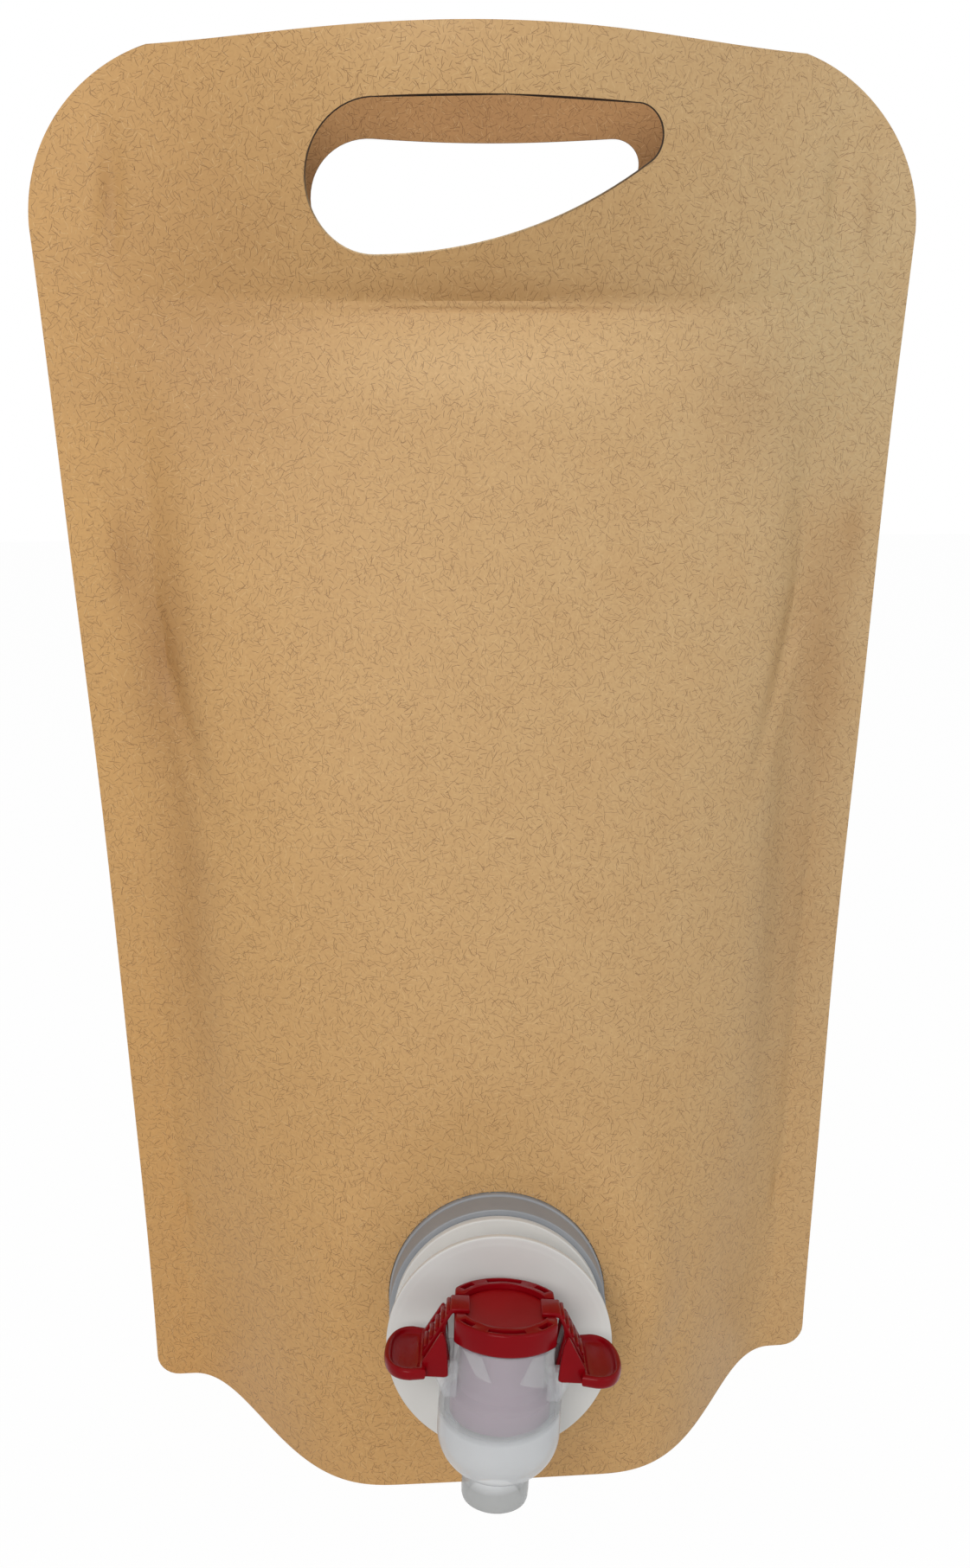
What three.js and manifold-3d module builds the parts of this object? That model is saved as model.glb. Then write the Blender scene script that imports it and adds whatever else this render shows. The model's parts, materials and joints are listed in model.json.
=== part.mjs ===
import * as THREE from 'three';
import { mergeVertices } from 'three/addons/utils/BufferGeometryUtils.js';
import Module from 'manifold-3d';

// A kraft stand-up pouch with a die-cut hand hole and a two-wing push tap.
// Millimetres, +Z up, the tap faces -Y, the pouch stands on its base rim.

// Pouch panels
const pouchHeight = 316.3;
const topHalfWidth = 96;
const baseHalfWidth = 85.7;
const sideFlare = 1.55;
const baseHalfDepth = 43.8;
const bagTaper = 1.6;
const sealDrop = 52.3;
const sealHeight = pouchHeight - sealDrop;
const sealBand = 3;
const sideSealWidth = 9;
const filmThickness = 0.6;
const roundedHeight = 90;
const pinchStart = 0.3;
const pinchCurve = 1.35;
const pillowCurve = 2.4;
const flatMargin = 2;

// Grip pocket above the top seal
const gripOpening = 25.5;
const gripRise = 0.9;
const gripNarrowing = 2.2;
const pocketSlit = 0.1;

// Corners and gusset
const topCornerRadius = 35.2;
const topCornerDrop = 34.3;
const baseCornerRadius = 5.5;
const gussetRim = 3;
const gussetRise = 5;
const gussetHalfWidth = 62;

// Hand hole, a long drop with its large end on the left
const holeDrop = 12.7;
const holeTop = pouchHeight - holeDrop;
const holeLeftRadius = 14;
const holeRightRadius = 5.7;
const holeLeftX = -23;
const holeRightX = 31;
const holeSlope = 36;

// Gland in the front panel
const glandX = 0;
const glandHeight = 47.4;
const glandTilt = 8;
const glandPan = -3;
const glandRadius = 24.2;
const glandFootRadius = 24.7;
const glandFootHeight = 1.2;
const glandStand = 8.7;
const glandBore = 16;
const glandTailWall = 2.5;
const glandTailLength = 6;
const weldWidth = 4.5;
const weldThickness = 1;

// Tap body
const clearance = 0.3;
const tapTurn = 3.5;
const flangeRadius = 24.1;
const flangeThickness = 1.6;
const flangeChamfer = 0.5;
const neckRadius = 19.5;
const neckLength = 9.5;
const rearRimRadius = 23.1;
const rearRimThickness = 2.2;
const spigotLength = 13.7;
const spigotWall = 1.7;
const inletRadius = 7.5;
const inletWall = 2;
const inletDrop = 1;
const chamberForward = 14.3;
const chamberRadius = 12.5;
const chamberWall = 1.2;
const upperRadius = 11.9;
const upperHalfWidth = 10;
const upperBore = 9;
const shoulderHeight = 3;
const shoulderDrop = 2;
const chamberTop = 11.2;
const diaphragmLedge = 1;
const domeHeight = -9.5;
const domeRadius = 9.5;
const domeSweep = 70;
const nozzleRadius = 6.8;
const nozzleWall = 1.4;
const nozzleEnd = -24.6;
const nozzleChamfer = 0.6;
const seatRadius = 6.6;
const seatTop = -8;
const seatThickness = 1.6;

// Wing pivots
const pivotX = 13;
const pivotHeight = 6.2;
const pinRadius = 1.3;
const lugRadius = 1.9;
const lugThickness = 1.4;
const lugFoot = -3;

// Cap ring and button
const capRadius = 12.35;
const capHalfWidth = 10.2;
const capHeight = 4.7;
const capChamfer = 0.35;
const buttonRadius = 8.9;
const buttonRecess = 1;
const buttonThickness = 1.3;
const dishDepth = 0.65;
const dimpleRadius = 0.9;
const dimpleDepth = 0.25;
const dimpleForward = 4.2;
const dishEdge = 0.6;
const notchHalfWidth = 4.1;
const notchSill = 0.6;
const slotInner = 10.2;
const slotOuter = 11.5;
const slotDepth = 2;
const frontSlotSweep = 39;
const sideSlotSweep = 17;
const sideSlotAngle = 45;

// Wings
const armHalfWidth = 3.1;
const tongueTip = 6.3;
const tongueThickness = 1;
const tongueLift = 0.3;
const armTopX = 10.9;
const armFootX = 16.2;
const armFootHeight = 7;
const armInside = 1.7;
const armDrop = 1.6;
const armTaper = 0.9;
const webInset = 1.2;
const ridgeCount = 5;
const ridgeDepth = 0.55;
const ridgeShare = 0.75;
const armOverlap = 0.5;
const trayRootX = 15.4;
const trayReach = 23.9;
const trayHalfDepth = 9;
const trayBottom = 4;
const trayThickness = 2.5;
const trayRimWidth = 1.3;
const trayRecess = 1.1;
const trayRootStep = 0.6;
const trayFrontBulge = 2.6;
const trayBackBulge = 2.2;
const trayTipFront = 0.66;
const trayTipMiddle = 0.1;
const trayTipBack = 0.6;

// Valve inside the chamber
const stemRadius = 2.5;
const sleeveRadius = 8.4;
const sleeveWall = 1;
const sleeveTop = 9.3;
const sleeveBottom = -5.4;
const diaphragmThickness = 0.7;
const diaphragmDip = 0.6;
const plugRadius = 8.2;
const plugThickness = 1.7;
const plugBevel = 1;

// How finely round pieces are divided
const wideSegments = 40;
const plainSegments = 28;
const pinSegments = 20;

// How finely the panels are divided, with columns crowded towards the side seals
const bagRowCount = 15;
const gripRowCount = 8;
const panelColumns = 26;
const pocketColumns = 22;
const gussetColumns = 16;
const edgeCrowding = 0.45;
const cutMargin = 5;

const wasm = await Module();
wasm.setup();

// Solids and helpers

function toSolid(geometry) {
  const bare = geometry.clone();
  bare.deleteAttribute('normal');
  bare.deleteAttribute('uv');
  const merged = mergeVertices(bare, 1e-5);
  return new wasm.Manifold(new wasm.Mesh({
    numProp: 3,
    vertProperties: new Float32Array(merged.attributes.position.array),
    triVerts: new Uint32Array(merged.index.array),
  }));
}

function toGeometry(solid) {
  const raw = solid.getMesh();
  const geometry = new THREE.BufferGeometry();
  geometry.setAttribute('position', new THREE.BufferAttribute(raw.vertProperties, 3));
  geometry.setIndex(new THREE.BufferAttribute(raw.triVerts, 1));
  geometry.computeVertexNormals();
  return geometry;
}

function aboutY(profile, segments) {
  return new THREE.LatheGeometry(profile.map(([r, y]) => new THREE.Vector2(r, y)), segments);
}

function aboutZ(profile, segments) {
  return aboutY(profile, segments).rotateX(Math.PI / 2);
}

function alongZ(shape, low, high, curveSegments = 12) {
  const options = { depth: high - low, bevelEnabled: false, curveSegments };
  return new THREE.ExtrudeGeometry(shape, options).translate(0, 0, low);
}

function alongY(shape, low, high, curveSegments = 12) {
  return alongZ(shape, -high, -low, curveSegments).rotateX(Math.PI / 2);
}

function block(low, high) {
  const size = high.map((value, i) => value - low[i]);
  const centre = high.map((value, i) => (value + low[i]) / 2);
  return new THREE.BoxGeometry(...size).translate(...centre);
}

function polygon(points) {
  return new THREE.Shape(points.map(([x, y]) => new THREE.Vector2(x, y)));
}

function arcPoints(centre, radius, from, to, steps) {
  return Array.from({ length: steps + 1 }, (unused, i) => {
    const angle = THREE.MathUtils.degToRad(from + (to - from) * i / steps);
    return [centre[0] + radius * Math.cos(angle), centre[1] + radius * Math.sin(angle)];
  });
}

function material(color, roughness, opacity = 1) {
  return new THREE.MeshStandardMaterial({
    color, roughness, metalness: 0, opacity, transparent: opacity < 1,
  });
}

function piece(name, solid, finish) {
  const mesh = new THREE.Mesh(toGeometry(solid), finish);
  mesh.name = name;
  return mesh;
}

// Where the gland sits on the front panel

const tilt = THREE.MathUtils.degToRad(glandTilt);
const pan = THREE.MathUtils.degToRad(glandPan);
const panelBehindFlange = flangeThickness + neckLength + rearRimThickness + clearance + glandStand;
const outward = new THREE.Vector3(
  Math.sin(pan) * Math.cos(tilt),
  -Math.cos(pan) * Math.cos(tilt),
  Math.sin(tilt),
);

// Shape of the panels: how far each one stands from the plane of the side seals

function halfWidth(z) {
  const share = Math.min(z / (pouchHeight - topCornerDrop), 1);
  return baseHalfWidth + (topHalfWidth - baseHalfWidth) * share ** sideFlare;
}

function bagSection(x, z) {
  const v = Math.min(Math.abs(x) / (halfWidth(z) - sideSealWidth), 1);
  const along = Math.max(v - pinchStart, 0) / (1 - pinchStart);
  const pinched = 0.5 + 0.5 * Math.cos(Math.PI * along ** pinchCurve);
  const pillow = 1 - v ** pillowCurve;
  return THREE.MathUtils.lerp(pinched, pillow, THREE.MathUtils.smoothstep(z, 0, roundedHeight));
}

function pocketDepth(x, z) {
  const start = sealHeight + sealBand;
  const rise = THREE.MathUtils.clamp((z - start) / (pouchHeight - start), 0, 1);
  const across = Math.cos(Math.PI / 2 * Math.min(Math.abs(x) / halfWidth(z), 1));
  return gripOpening * Math.sin(Math.PI / 2 * rise) ** gripRise * across ** gripNarrowing;
}

function panelDepth(x, z) {
  const taper = 1 - Math.min(z / sealHeight, 1) ** bagTaper;
  return filmThickness + baseHalfDepth * taper * bagSection(x, z) + pocketDepth(x, z);
}

const glandSeat = new THREE.Vector3(glandX, -panelDepth(glandX, glandHeight), glandHeight);

function frontDepth(x, z) {
  const plain = panelDepth(x, z);
  const lean = outward.x * (x - glandSeat.x) + outward.z * (z - glandSeat.z);
  const flat = -glandSeat.y + lean / outward.y;
  const flatRadius = glandFootRadius + weldWidth + flatMargin;
  const away = Math.hypot(x - glandSeat.x, z - glandSeat.z);
  const share = THREE.MathUtils.smoothstep(away, flatRadius, glandHeight);
  return THREE.MathUtils.lerp(flat, plain, share);
}

// A closed slab between a front and a back surface, both given over x and z

function slab(heights, columns, reach, front, back) {
  const positions = [];
  for (const z of heights) {
    for (const side of [-1, 1]) {
      for (const share of columns) {
        const x = share * reach(z);
        positions.push(x, side < 0 ? -front(x, z) : back(x, z), z);
      }
    }
  }
  const count = columns.length;
  const at = (row, side, column) => (row * 2 + side) * count + column;
  const index = [];
  const quad = (a, b, c, d) => index.push(a, b, c, a, c, d);
  const last = heights.length - 1;
  for (let row = 0; row < last; row += 1) {
    for (let c = 0; c < count - 1; c += 1) {
      quad(at(row, 0, c), at(row, 0, c + 1), at(row + 1, 0, c + 1), at(row + 1, 0, c));
      quad(at(row, 1, c + 1), at(row, 1, c), at(row + 1, 1, c), at(row + 1, 1, c + 1));
    }
    quad(at(row, 1, 0), at(row, 0, 0), at(row + 1, 0, 0), at(row + 1, 1, 0));
    const end = count - 1;
    quad(at(row, 0, end), at(row, 1, end), at(row + 1, 1, end), at(row + 1, 0, end));
  }
  for (let c = 0; c < count - 1; c += 1) {
    quad(at(0, 0, c + 1), at(0, 0, c), at(0, 1, c), at(0, 1, c + 1));
    quad(at(last, 0, c), at(last, 0, c + 1), at(last, 1, c + 1), at(last, 1, c));
  }
  const geometry = new THREE.BufferGeometry();
  geometry.setAttribute('position', new THREE.Float32BufferAttribute(positions, 3));
  geometry.setIndex(index);
  return geometry;
}

function columnShares(steps) {
  const bend = edgeCrowding * Math.PI;
  return Array.from({ length: steps + 1 }, (unused, i) => {
    return Math.sin(bend * (2 * i / steps - 1)) / Math.sin(bend);
  });
}

function spaced(low, high, steps, ease) {
  return Array.from({ length: steps + 1 }, (unused, i) => low + (high - low) * ease(i / steps));
}

// Cutters for the pouch

function cornerCutter(side) {
  const centreX = topHalfWidth - topCornerRadius;
  const centreZ = pouchHeight - topCornerDrop;
  const farX = topHalfWidth + cutMargin;
  const farZ = pouchHeight + cutMargin;
  const topAngle = THREE.MathUtils.radToDeg(Math.asin(topCornerDrop / topCornerRadius));
  const arc = arcPoints([centreX, centreZ], topCornerRadius, 0, topAngle, 12);
  const outline = [[farX, centreZ], ...arc, [arc.at(-1)[0], farZ], [farX, farZ]];
  const shape = polygon(outline.map(([x, z]) => [side * x, z]));
  return toSolid(alongY(shape, -gripOpening - cutMargin, gripOpening + cutMargin));
}

function baseCornerCutter(side) {
  const edge = baseHalfWidth + cutMargin;
  const centre = [baseHalfWidth - baseCornerRadius, baseCornerRadius];
  const arc = arcPoints(centre, baseCornerRadius, -90, 0, 6);
  const outline = [...arc, [edge, baseCornerRadius], [edge, -cutMargin], [centre[0], -cutMargin]];
  const shape = polygon(outline.map(([x, z]) => [side * x, z]));
  return toSolid(alongY(shape, -cutMargin, cutMargin));
}

function handHole() {
  const leftZ = holeTop - holeLeftRadius;
  const rightZ = holeTop - holeRightRadius;
  const left = arcPoints([holeLeftX, leftZ], holeLeftRadius, 90, 270, 14);
  const right = arcPoints([holeRightX, rightZ], holeRightRadius, holeSlope - 90, 90, 10);
  const bottom = leftZ - holeLeftRadius;
  const run = (right[0][1] - bottom) / Math.tan(THREE.MathUtils.degToRad(holeSlope));
  const curve = new THREE.QuadraticBezierCurve(
    new THREE.Vector2(holeLeftX, bottom),
    new THREE.Vector2(right[0][0] - run, bottom),
    new THREE.Vector2(...right[0]),
  );
  const lower = curve.getPoints(10).slice(1, -1).map((point) => [point.x, point.y]);
  const reach = gripOpening + cutMargin;
  return toSolid(alongY(polygon([...left, ...lower, ...right]), -reach, reach));
}

function glandPocket(glandMatrix) {
  const film = panelBehindFlange + filmThickness;
  const holeRadius = glandFootRadius + clearance;
  const weldRadius = glandFootRadius + weldWidth + clearance;
  const weldEnd = film + weldThickness + 2 * clearance;
  const tailRadius = glandBore + glandTailWall + clearance;
  const tailEnd = weldEnd + glandTailLength;
  const outlet = panelBehindFlange - glandFootHeight - filmThickness;
  const cutter = aboutY([
    [0, outlet],
    [holeRadius, outlet],
    [holeRadius, film],
    [weldRadius, film],
    [weldRadius, weldEnd],
    [tailRadius, weldEnd],
    [tailRadius, tailEnd],
    [0, tailEnd],
  ], wideSegments);
  return toSolid(cutter.applyMatrix4(glandMatrix));
}

function buildPouch(glandMatrix) {
  const bagRows = spaced(0, sealHeight, bagRowCount, (t) => 0.5 - 0.5 * Math.cos(Math.PI * t));
  const gripRows = spaced(sealHeight + sealBand, pouchHeight, gripRowCount, (t) => t);
  const rows = [...bagRows, ...gripRows];
  const columns = columnShares(panelColumns);
  const outside = toSolid(slab(rows, columns, halfWidth, frontDepth, panelDepth));
  const pocketTop = pouchHeight + 2;
  const pocketRows = spaced(sealHeight + sealBand, pocketTop, gripRowCount, (t) => t);
  const inner = (x, z) => pocketDepth(x, z) + pocketSlit;
  const innerReach = (z) => halfWidth(z) - sideSealWidth;
  const pocketShares = columnShares(pocketColumns);
  const pocket = toSolid(slab(pocketRows, pocketShares, innerReach, inner, inner));
  const gussetDepth = (x) => Math.max(panelDepth(x, 0) - gussetRim, pocketSlit);
  const gussetShares = columnShares(gussetColumns);
  const gussetReach = () => gussetHalfWidth;
  const gussetRows = [-1, gussetRise];
  const gusset = toSolid(slab(gussetRows, gussetShares, gussetReach, gussetDepth, gussetDepth));
  const cutters = [
    pocket,
    gusset,
    cornerCutter(-1),
    cornerCutter(1),
    baseCornerCutter(-1),
    baseCornerCutter(1),
    handHole(),
    glandPocket(glandMatrix),
  ];
  const solid = cutters.reduce((rest, cutter) => rest.subtract(cutter), outside);
  return piece('pouch', solid, material(0xc8a573, 0.85));
}

// Gland

function buildGland() {
  const front = panelBehindFlange - glandStand;
  const weldStart = panelBehindFlange + filmThickness + clearance;
  const footStart = panelBehindFlange - glandFootHeight;
  const weldEnd = weldStart + weldThickness;
  const tailRadius = glandBore + glandTailWall;
  const tailEnd = weldEnd + glandTailLength;
  const solid = toSolid(aboutY([
    [glandBore, front],
    [glandRadius - flangeChamfer, front],
    [glandRadius, front + flangeChamfer],
    [glandRadius, footStart],
    [glandFootRadius, footStart + flangeChamfer],
    [glandFootRadius, weldStart],
    [glandFootRadius + weldWidth, weldStart],
    [glandFootRadius + weldWidth, weldEnd],
    [tailRadius, weldEnd],
    [tailRadius, tailEnd],
    [glandBore, tailEnd],
    [glandBore, front],
  ], wideSegments));
  return piece('gland', solid, material(0x8b9199, 0.5));
}

// Tap body: everything from here on is placed in the tap's own frame, whose origin is the
// centre of the flange front. -Y points away from the pouch and Z runs up the chamber.

function atChamber(geometry) {
  return geometry.translate(0, -chamberForward, 0);
}

function flatSided(radius, width) {
  const angle = THREE.MathUtils.radToDeg(Math.acos(width / radius));
  return polygon([
    ...arcPoints([0, 0], radius, angle, 180 - angle, 14),
    ...arcPoints([0, 0], radius, 180 + angle, 360 - angle, 14),
  ]);
}

function lug(sideX, sideY) {
  const low = armHalfWidth + 2 * clearance;
  const tangent = [pivotX + lugRadius, pivotHeight];
  const outline = [
    [upperHalfWidth - 1, lugFoot],
    [chamberRadius - 1, lugFoot],
    [tangent[0], shoulderHeight],
    ...arcPoints([pivotX, pivotHeight], lugRadius, 0, 180, 8),
    [upperHalfWidth - 1, pivotHeight],
  ];
  const shape = polygon(outline.map(([x, z]) => [sideX * x, z]));
  const near = sideY > 0 ? low : -low - lugThickness;
  return toSolid(atChamber(alongY(shape, near, near + lugThickness)));
}

function pinAcross(sideX, radius, reach) {
  const pin = new THREE.CylinderGeometry(radius, radius, 2 * reach, pinSegments);
  return toSolid(atChamber(pin.translate(sideX * pivotX, 0, pivotHeight)));
}

function buildTapBody() {
  const rearRimStart = flangeThickness + neckLength;
  const rearRimEnd = rearRimStart + rearRimThickness;
  const spigotEnd = rearRimEnd + spigotLength;
  const spigotRadius = glandBore - clearance;
  const flange = toSolid(aboutY([
    [0, 0],
    [flangeRadius - flangeChamfer, 0],
    [flangeRadius, flangeChamfer],
    [flangeRadius, flangeThickness],
    [neckRadius, flangeThickness],
    [neckRadius, rearRimStart],
    [rearRimRadius, rearRimStart],
    [rearRimRadius, rearRimEnd],
    [spigotRadius, rearRimEnd],
    [spigotRadius, spigotEnd],
    [0, spigotEnd],
  ], wideSegments));
  const domeCentre = [chamberRadius - domeRadius, domeHeight];
  const dome = arcPoints(domeCentre, domeRadius, -domeSweep, 0, 7);
  const chamber = toSolid(atChamber(aboutZ([
    [0, nozzleEnd],
    [nozzleRadius - nozzleChamfer, nozzleEnd],
    [nozzleRadius, nozzleEnd + nozzleChamfer],
    [nozzleRadius, dome[0][1] - nozzleChamfer],
    ...dome,
    [chamberRadius, shoulderHeight - shoulderDrop],
    [upperRadius - shoulderDrop, shoulderHeight],
    [0, shoulderHeight],
  ], plainSegments)));
  const upper = toSolid(atChamber(alongZ(flatSided(upperRadius, upperHalfWidth), 0, chamberTop)));
  const tubeRadius = inletRadius + inletWall;
  const tubeLength = chamberForward - chamberRadius + 2 * inletWall;
  const inletTube = new THREE.CylinderGeometry(tubeRadius, tubeRadius, tubeLength, plainSegments);
  inletTube.translate(0, (flangeThickness - tubeLength) / 2, -inletDrop);
  const innerDome = arcPoints(domeCentre, domeRadius - chamberWall, -domeSweep, 0, 6);
  const innerRadius = chamberRadius - chamberWall;
  const seatBottom = seatTop - seatThickness;
  const ledge = chamberTop - diaphragmLedge;
  const cavity = toSolid(atChamber(aboutZ([
    [0, nozzleEnd - 1],
    [nozzleRadius - nozzleWall, nozzleEnd - 1],
    [nozzleRadius - nozzleWall, innerDome[0][1]],
    ...innerDome.slice(1, -1),
    [innerRadius, seatBottom],
    [seatRadius, seatBottom],
    [seatRadius, seatTop],
    [innerRadius, seatTop],
    [innerRadius, shoulderHeight - shoulderDrop - chamberWall],
    [upperBore, shoulderHeight - chamberWall],
    [upperBore, ledge],
    [upperBore + clearance, ledge],
    [upperBore + clearance, chamberTop + 1],
    [0, chamberTop + 1],
  ], plainSegments)));
  const inletLength = spigotEnd + chamberForward - chamberRadius + 2 * chamberWall + 1;
  const inlet = new THREE.CylinderGeometry(inletRadius, inletRadius, inletLength, plainSegments);
  inlet.translate(0, spigotEnd + 1 - inletLength / 2, -inletDrop);
  const mouthRadius = spigotRadius - spigotWall;
  const mouthLength = spigotEnd - 2 * flangeThickness;
  const mouth = new THREE.CylinderGeometry(mouthRadius, mouthRadius, mouthLength, plainSegments);
  mouth.translate(0, spigotEnd + 1 - mouthLength / 2, 0);
  const lugs = [[-1, -1], [-1, 1], [1, -1], [1, 1]].map(([x, y]) => lug(x, y));
  const pinReach = armHalfWidth + 2 * clearance + lugThickness / 2;
  const pins = [-1, 1].map((side) => pinAcross(side, pinRadius, pinReach));
  const added = [chamber, upper, toSolid(inletTube), ...lugs, ...pins];
  const whole = added.reduce((rest, extra) => rest.add(extra), flange);
  const bores = [cavity, toSolid(inlet), toSolid(mouth)];
  const solid = bores.reduce((rest, bore) => rest.subtract(bore), whole);
  return piece('tap_body', solid, material(0xd6d8d4, 0.35, 0.7));
}

// Cap ring with its core slots and side notches

const capBottom = chamberTop + clearance;
const capTop = capBottom + capHeight;
const buttonTop = capTop - buttonRecess;
const buttonBottom = buttonTop - buttonThickness;

function ringSlot(angle, sweep) {
  const from = angle - sweep / 2;
  const outer = arcPoints([0, 0], slotOuter, from, from + sweep, 5);
  const inner = arcPoints([0, 0], slotInner, from + sweep, from, 5);
  return toSolid(atChamber(alongZ(polygon([...outer, ...inner]), capTop - slotDepth, capTop + 1)));
}

function buildCapRing() {
  const lower = toSolid(alongZ(flatSided(capRadius, capHalfWidth), capBottom, capTop - capChamfer));
  const rim = flatSided(capRadius - capChamfer, capHalfWidth - capChamfer);
  const upper = toSolid(alongZ(rim, capTop - 2 * capChamfer, capTop));
  const boreRadius = buttonRadius + clearance;
  const bore = toSolid(aboutZ([
    [0, capBottom - 1],
    [boreRadius, capBottom - 1],
    [boreRadius, capTop + 1],
    [0, capTop + 1],
  ], plainSegments));
  const notchReach = capHalfWidth + 1;
  const notch = toSolid(block(
    [-notchReach, -notchHalfWidth, capBottom + notchSill],
    [notchReach, notchHalfWidth, capTop + 1],
  ));
  const ring = lower.add(upper).subtract(bore).subtract(notch).translate([0, -chamberForward, 0]);
  const slots = [];
  for (const facing of [-90, 90]) {
    slots.push(ringSlot(facing, frontSlotSweep));
    slots.push(ringSlot(facing - sideSlotAngle, sideSlotSweep));
    slots.push(ringSlot(facing + sideSlotAngle, sideSlotSweep));
  }
  const solid = slots.reduce((rest, slot) => rest.subtract(slot), ring);
  return piece('cap_ring', solid, material(0xb0121c, 0.3));
}

function buildButton() {
  const dish = Array.from({ length: 5 }, (unused, i) => {
    const share = 1 - i / 4;
    return [(buttonRadius - dishEdge) * share, buttonTop - dishDepth * (1 - share ** 2)];
  });
  const plate = toSolid(atChamber(aboutZ([
    [0, buttonBottom],
    [buttonRadius, buttonBottom],
    [buttonRadius, buttonTop],
    ...dish,
  ], plainSegments)));
  const floor = buttonTop - dishDepth;
  const dimple = new THREE.CylinderGeometry(dimpleRadius, dimpleRadius, 2 * dimpleDepth, 16);
  dimple.rotateX(Math.PI / 2);
  dimple.translate(0, -chamberForward - dimpleForward, floor + dimpleDepth / 2);
  return piece('press_button', plate.subtract(toSolid(dimple)), material(0x8e161c, 0.35));
}

// Wings: tongue, ridged arm and web in one outline, and the tray beside it

function armOutline() {
  const tongueBottom = buttonTop + tongueLift;
  const tongueTop = tongueBottom + tongueThickness;
  const ridges = [];
  for (let i = 0; i < ridgeCount; i += 1) {
    const t = i / ridgeCount;
    const next = (i + ridgeShare) / ridgeCount;
    const x = THREE.MathUtils.lerp(armFootX, armTopX, t);
    const z = THREE.MathUtils.lerp(armFootHeight, tongueTop, t);
    ridges.push([x, z]);
    ridges.push([
      THREE.MathUtils.lerp(armFootX, armTopX, next) + ridgeDepth,
      THREE.MathUtils.lerp(armFootHeight, tongueTop, next),
    ]);
  }
  const wallFree = upperHalfWidth + 2 * clearance;
  return polygon([
    [tongueTip, tongueBottom],
    [buttonRadius + armInside, tongueBottom],
    [buttonRadius + armInside + armTaper, tongueBottom - armDrop],
    [pivotX - webInset, capBottom + notchSill + 2 * clearance],
    [pivotX - webInset, chamberTop],
    [wallFree, pivotHeight - 1],
    [wallFree, trayBottom],
    [armFootX + armOverlap, trayBottom],
    [armFootX + armOverlap, trayBottom + trayThickness - trayRecess],
    ...ridges,
    [armTopX, tongueTop],
    [tongueTip, tongueTop],
  ]);
}

function trayOutline(inset) {
  const root = trayRootX + inset;
  const reach = trayReach - inset;
  const half = trayHalfDepth - inset;
  const shape = new THREE.Shape();
  const straight = trayRootX + trayHalfDepth / 3;
  const corner = trayReach - trayHalfDepth / 2;
  const front = corner + trayFrontBulge;
  const back = corner + trayBackBulge;
  shape.moveTo(root, trayRootStep - half);
  shape.lineTo(straight, -half);
  shape.bezierCurveTo(front, -half, reach, -half * trayTipFront, reach, -half * trayTipMiddle);
  shape.bezierCurveTo(reach, half * trayTipBack, back, half, straight, half);
  shape.lineTo(root, half - trayRootStep);
  shape.closePath();
  return shape;
}

function buildWing(name, side) {
  const arm = toSolid(alongY(armOutline(), -armHalfWidth, armHalfWidth));
  const top = trayBottom + trayThickness;
  const tray = toSolid(alongZ(trayOutline(0), trayBottom, top, 10));
  const hollow = toSolid(alongZ(trayOutline(trayRimWidth), top - trayRecess, top + 1, 10));
  const holeRadius = pinRadius + clearance;
  const hole = new THREE.CylinderGeometry(holeRadius, holeRadius, 4 * armHalfWidth, pinSegments);
  const pinHole = toSolid(hole.translate(pivotX, 0, pivotHeight));
  const right = tray.subtract(hollow).add(arm).subtract(pinHole);
  const solid = side > 0 ? right : right.mirror([1, 0, 0]);
  return piece(name, solid.translate([0, -chamberForward, 0]), material(0xb0121c, 0.3));
}

// Valve pieces behind the chamber wall

function buildDiaphragm() {
  const bottom = chamberTop - diaphragmLedge + clearance;
  const top = bottom + diaphragmThickness;
  const inner = stemRadius + clearance;
  const outer = upperBore;
  const wave = (outer - inner) / 4;
  const solid = toSolid(atChamber(aboutZ([
    [inner, bottom],
    [inner + wave, bottom],
    [inner + 1.5 * wave, bottom - diaphragmDip],
    [inner + 2.5 * wave, bottom - diaphragmDip],
    [inner + 3 * wave, bottom],
    [outer, bottom],
    [outer, top],
    [inner + 2.8 * wave, top],
    [inner + 2.3 * wave, top - diaphragmDip],
    [inner + 1.7 * wave, top - diaphragmDip],
    [inner + 1.2 * wave, top],
    [inner, top],
    [inner, bottom],
  ], plainSegments)));
  return piece('diaphragm', solid, material(0xd8d5cc, 0.6));
}

function buildStem() {
  const seatBottom = seatTop - seatThickness;
  const body = toSolid(aboutZ([
    [0, seatBottom],
    [stemRadius, seatBottom],
    [stemRadius, sleeveTop - sleeveWall],
    [sleeveRadius - sleeveWall, sleeveTop - sleeveWall],
    [sleeveRadius - sleeveWall, sleeveBottom],
    [sleeveRadius, sleeveBottom],
    [sleeveRadius, sleeveTop],
    [stemRadius, sleeveTop],
    [stemRadius, buttonBottom - clearance],
    [0, buttonBottom - clearance],
  ], plainSegments));
  const window = toSolid(block(
    [-inletRadius + 1, stemRadius + 1, sleeveBottom - 1],
    [inletRadius - 1, sleeveRadius + 1, inletRadius - inletDrop],
  ));
  const solid = body.subtract(window).translate([0, -chamberForward, 0]);
  return piece('valve_stem', solid, material(0xb98f98, 0.5));
}

function buildPlug() {
  const top = seatTop - seatThickness - clearance;
  const solid = toSolid(atChamber(aboutZ([
    [0, top - plugThickness],
    [plugRadius - plugBevel, top - plugThickness],
    [plugRadius, top - plugThickness / 2],
    [plugRadius, top],
    [0, top],
  ], plainSegments)));
  return piece('valve_plug', solid, material(0xc9c6bd, 0.7));
}

// Assembly

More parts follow.
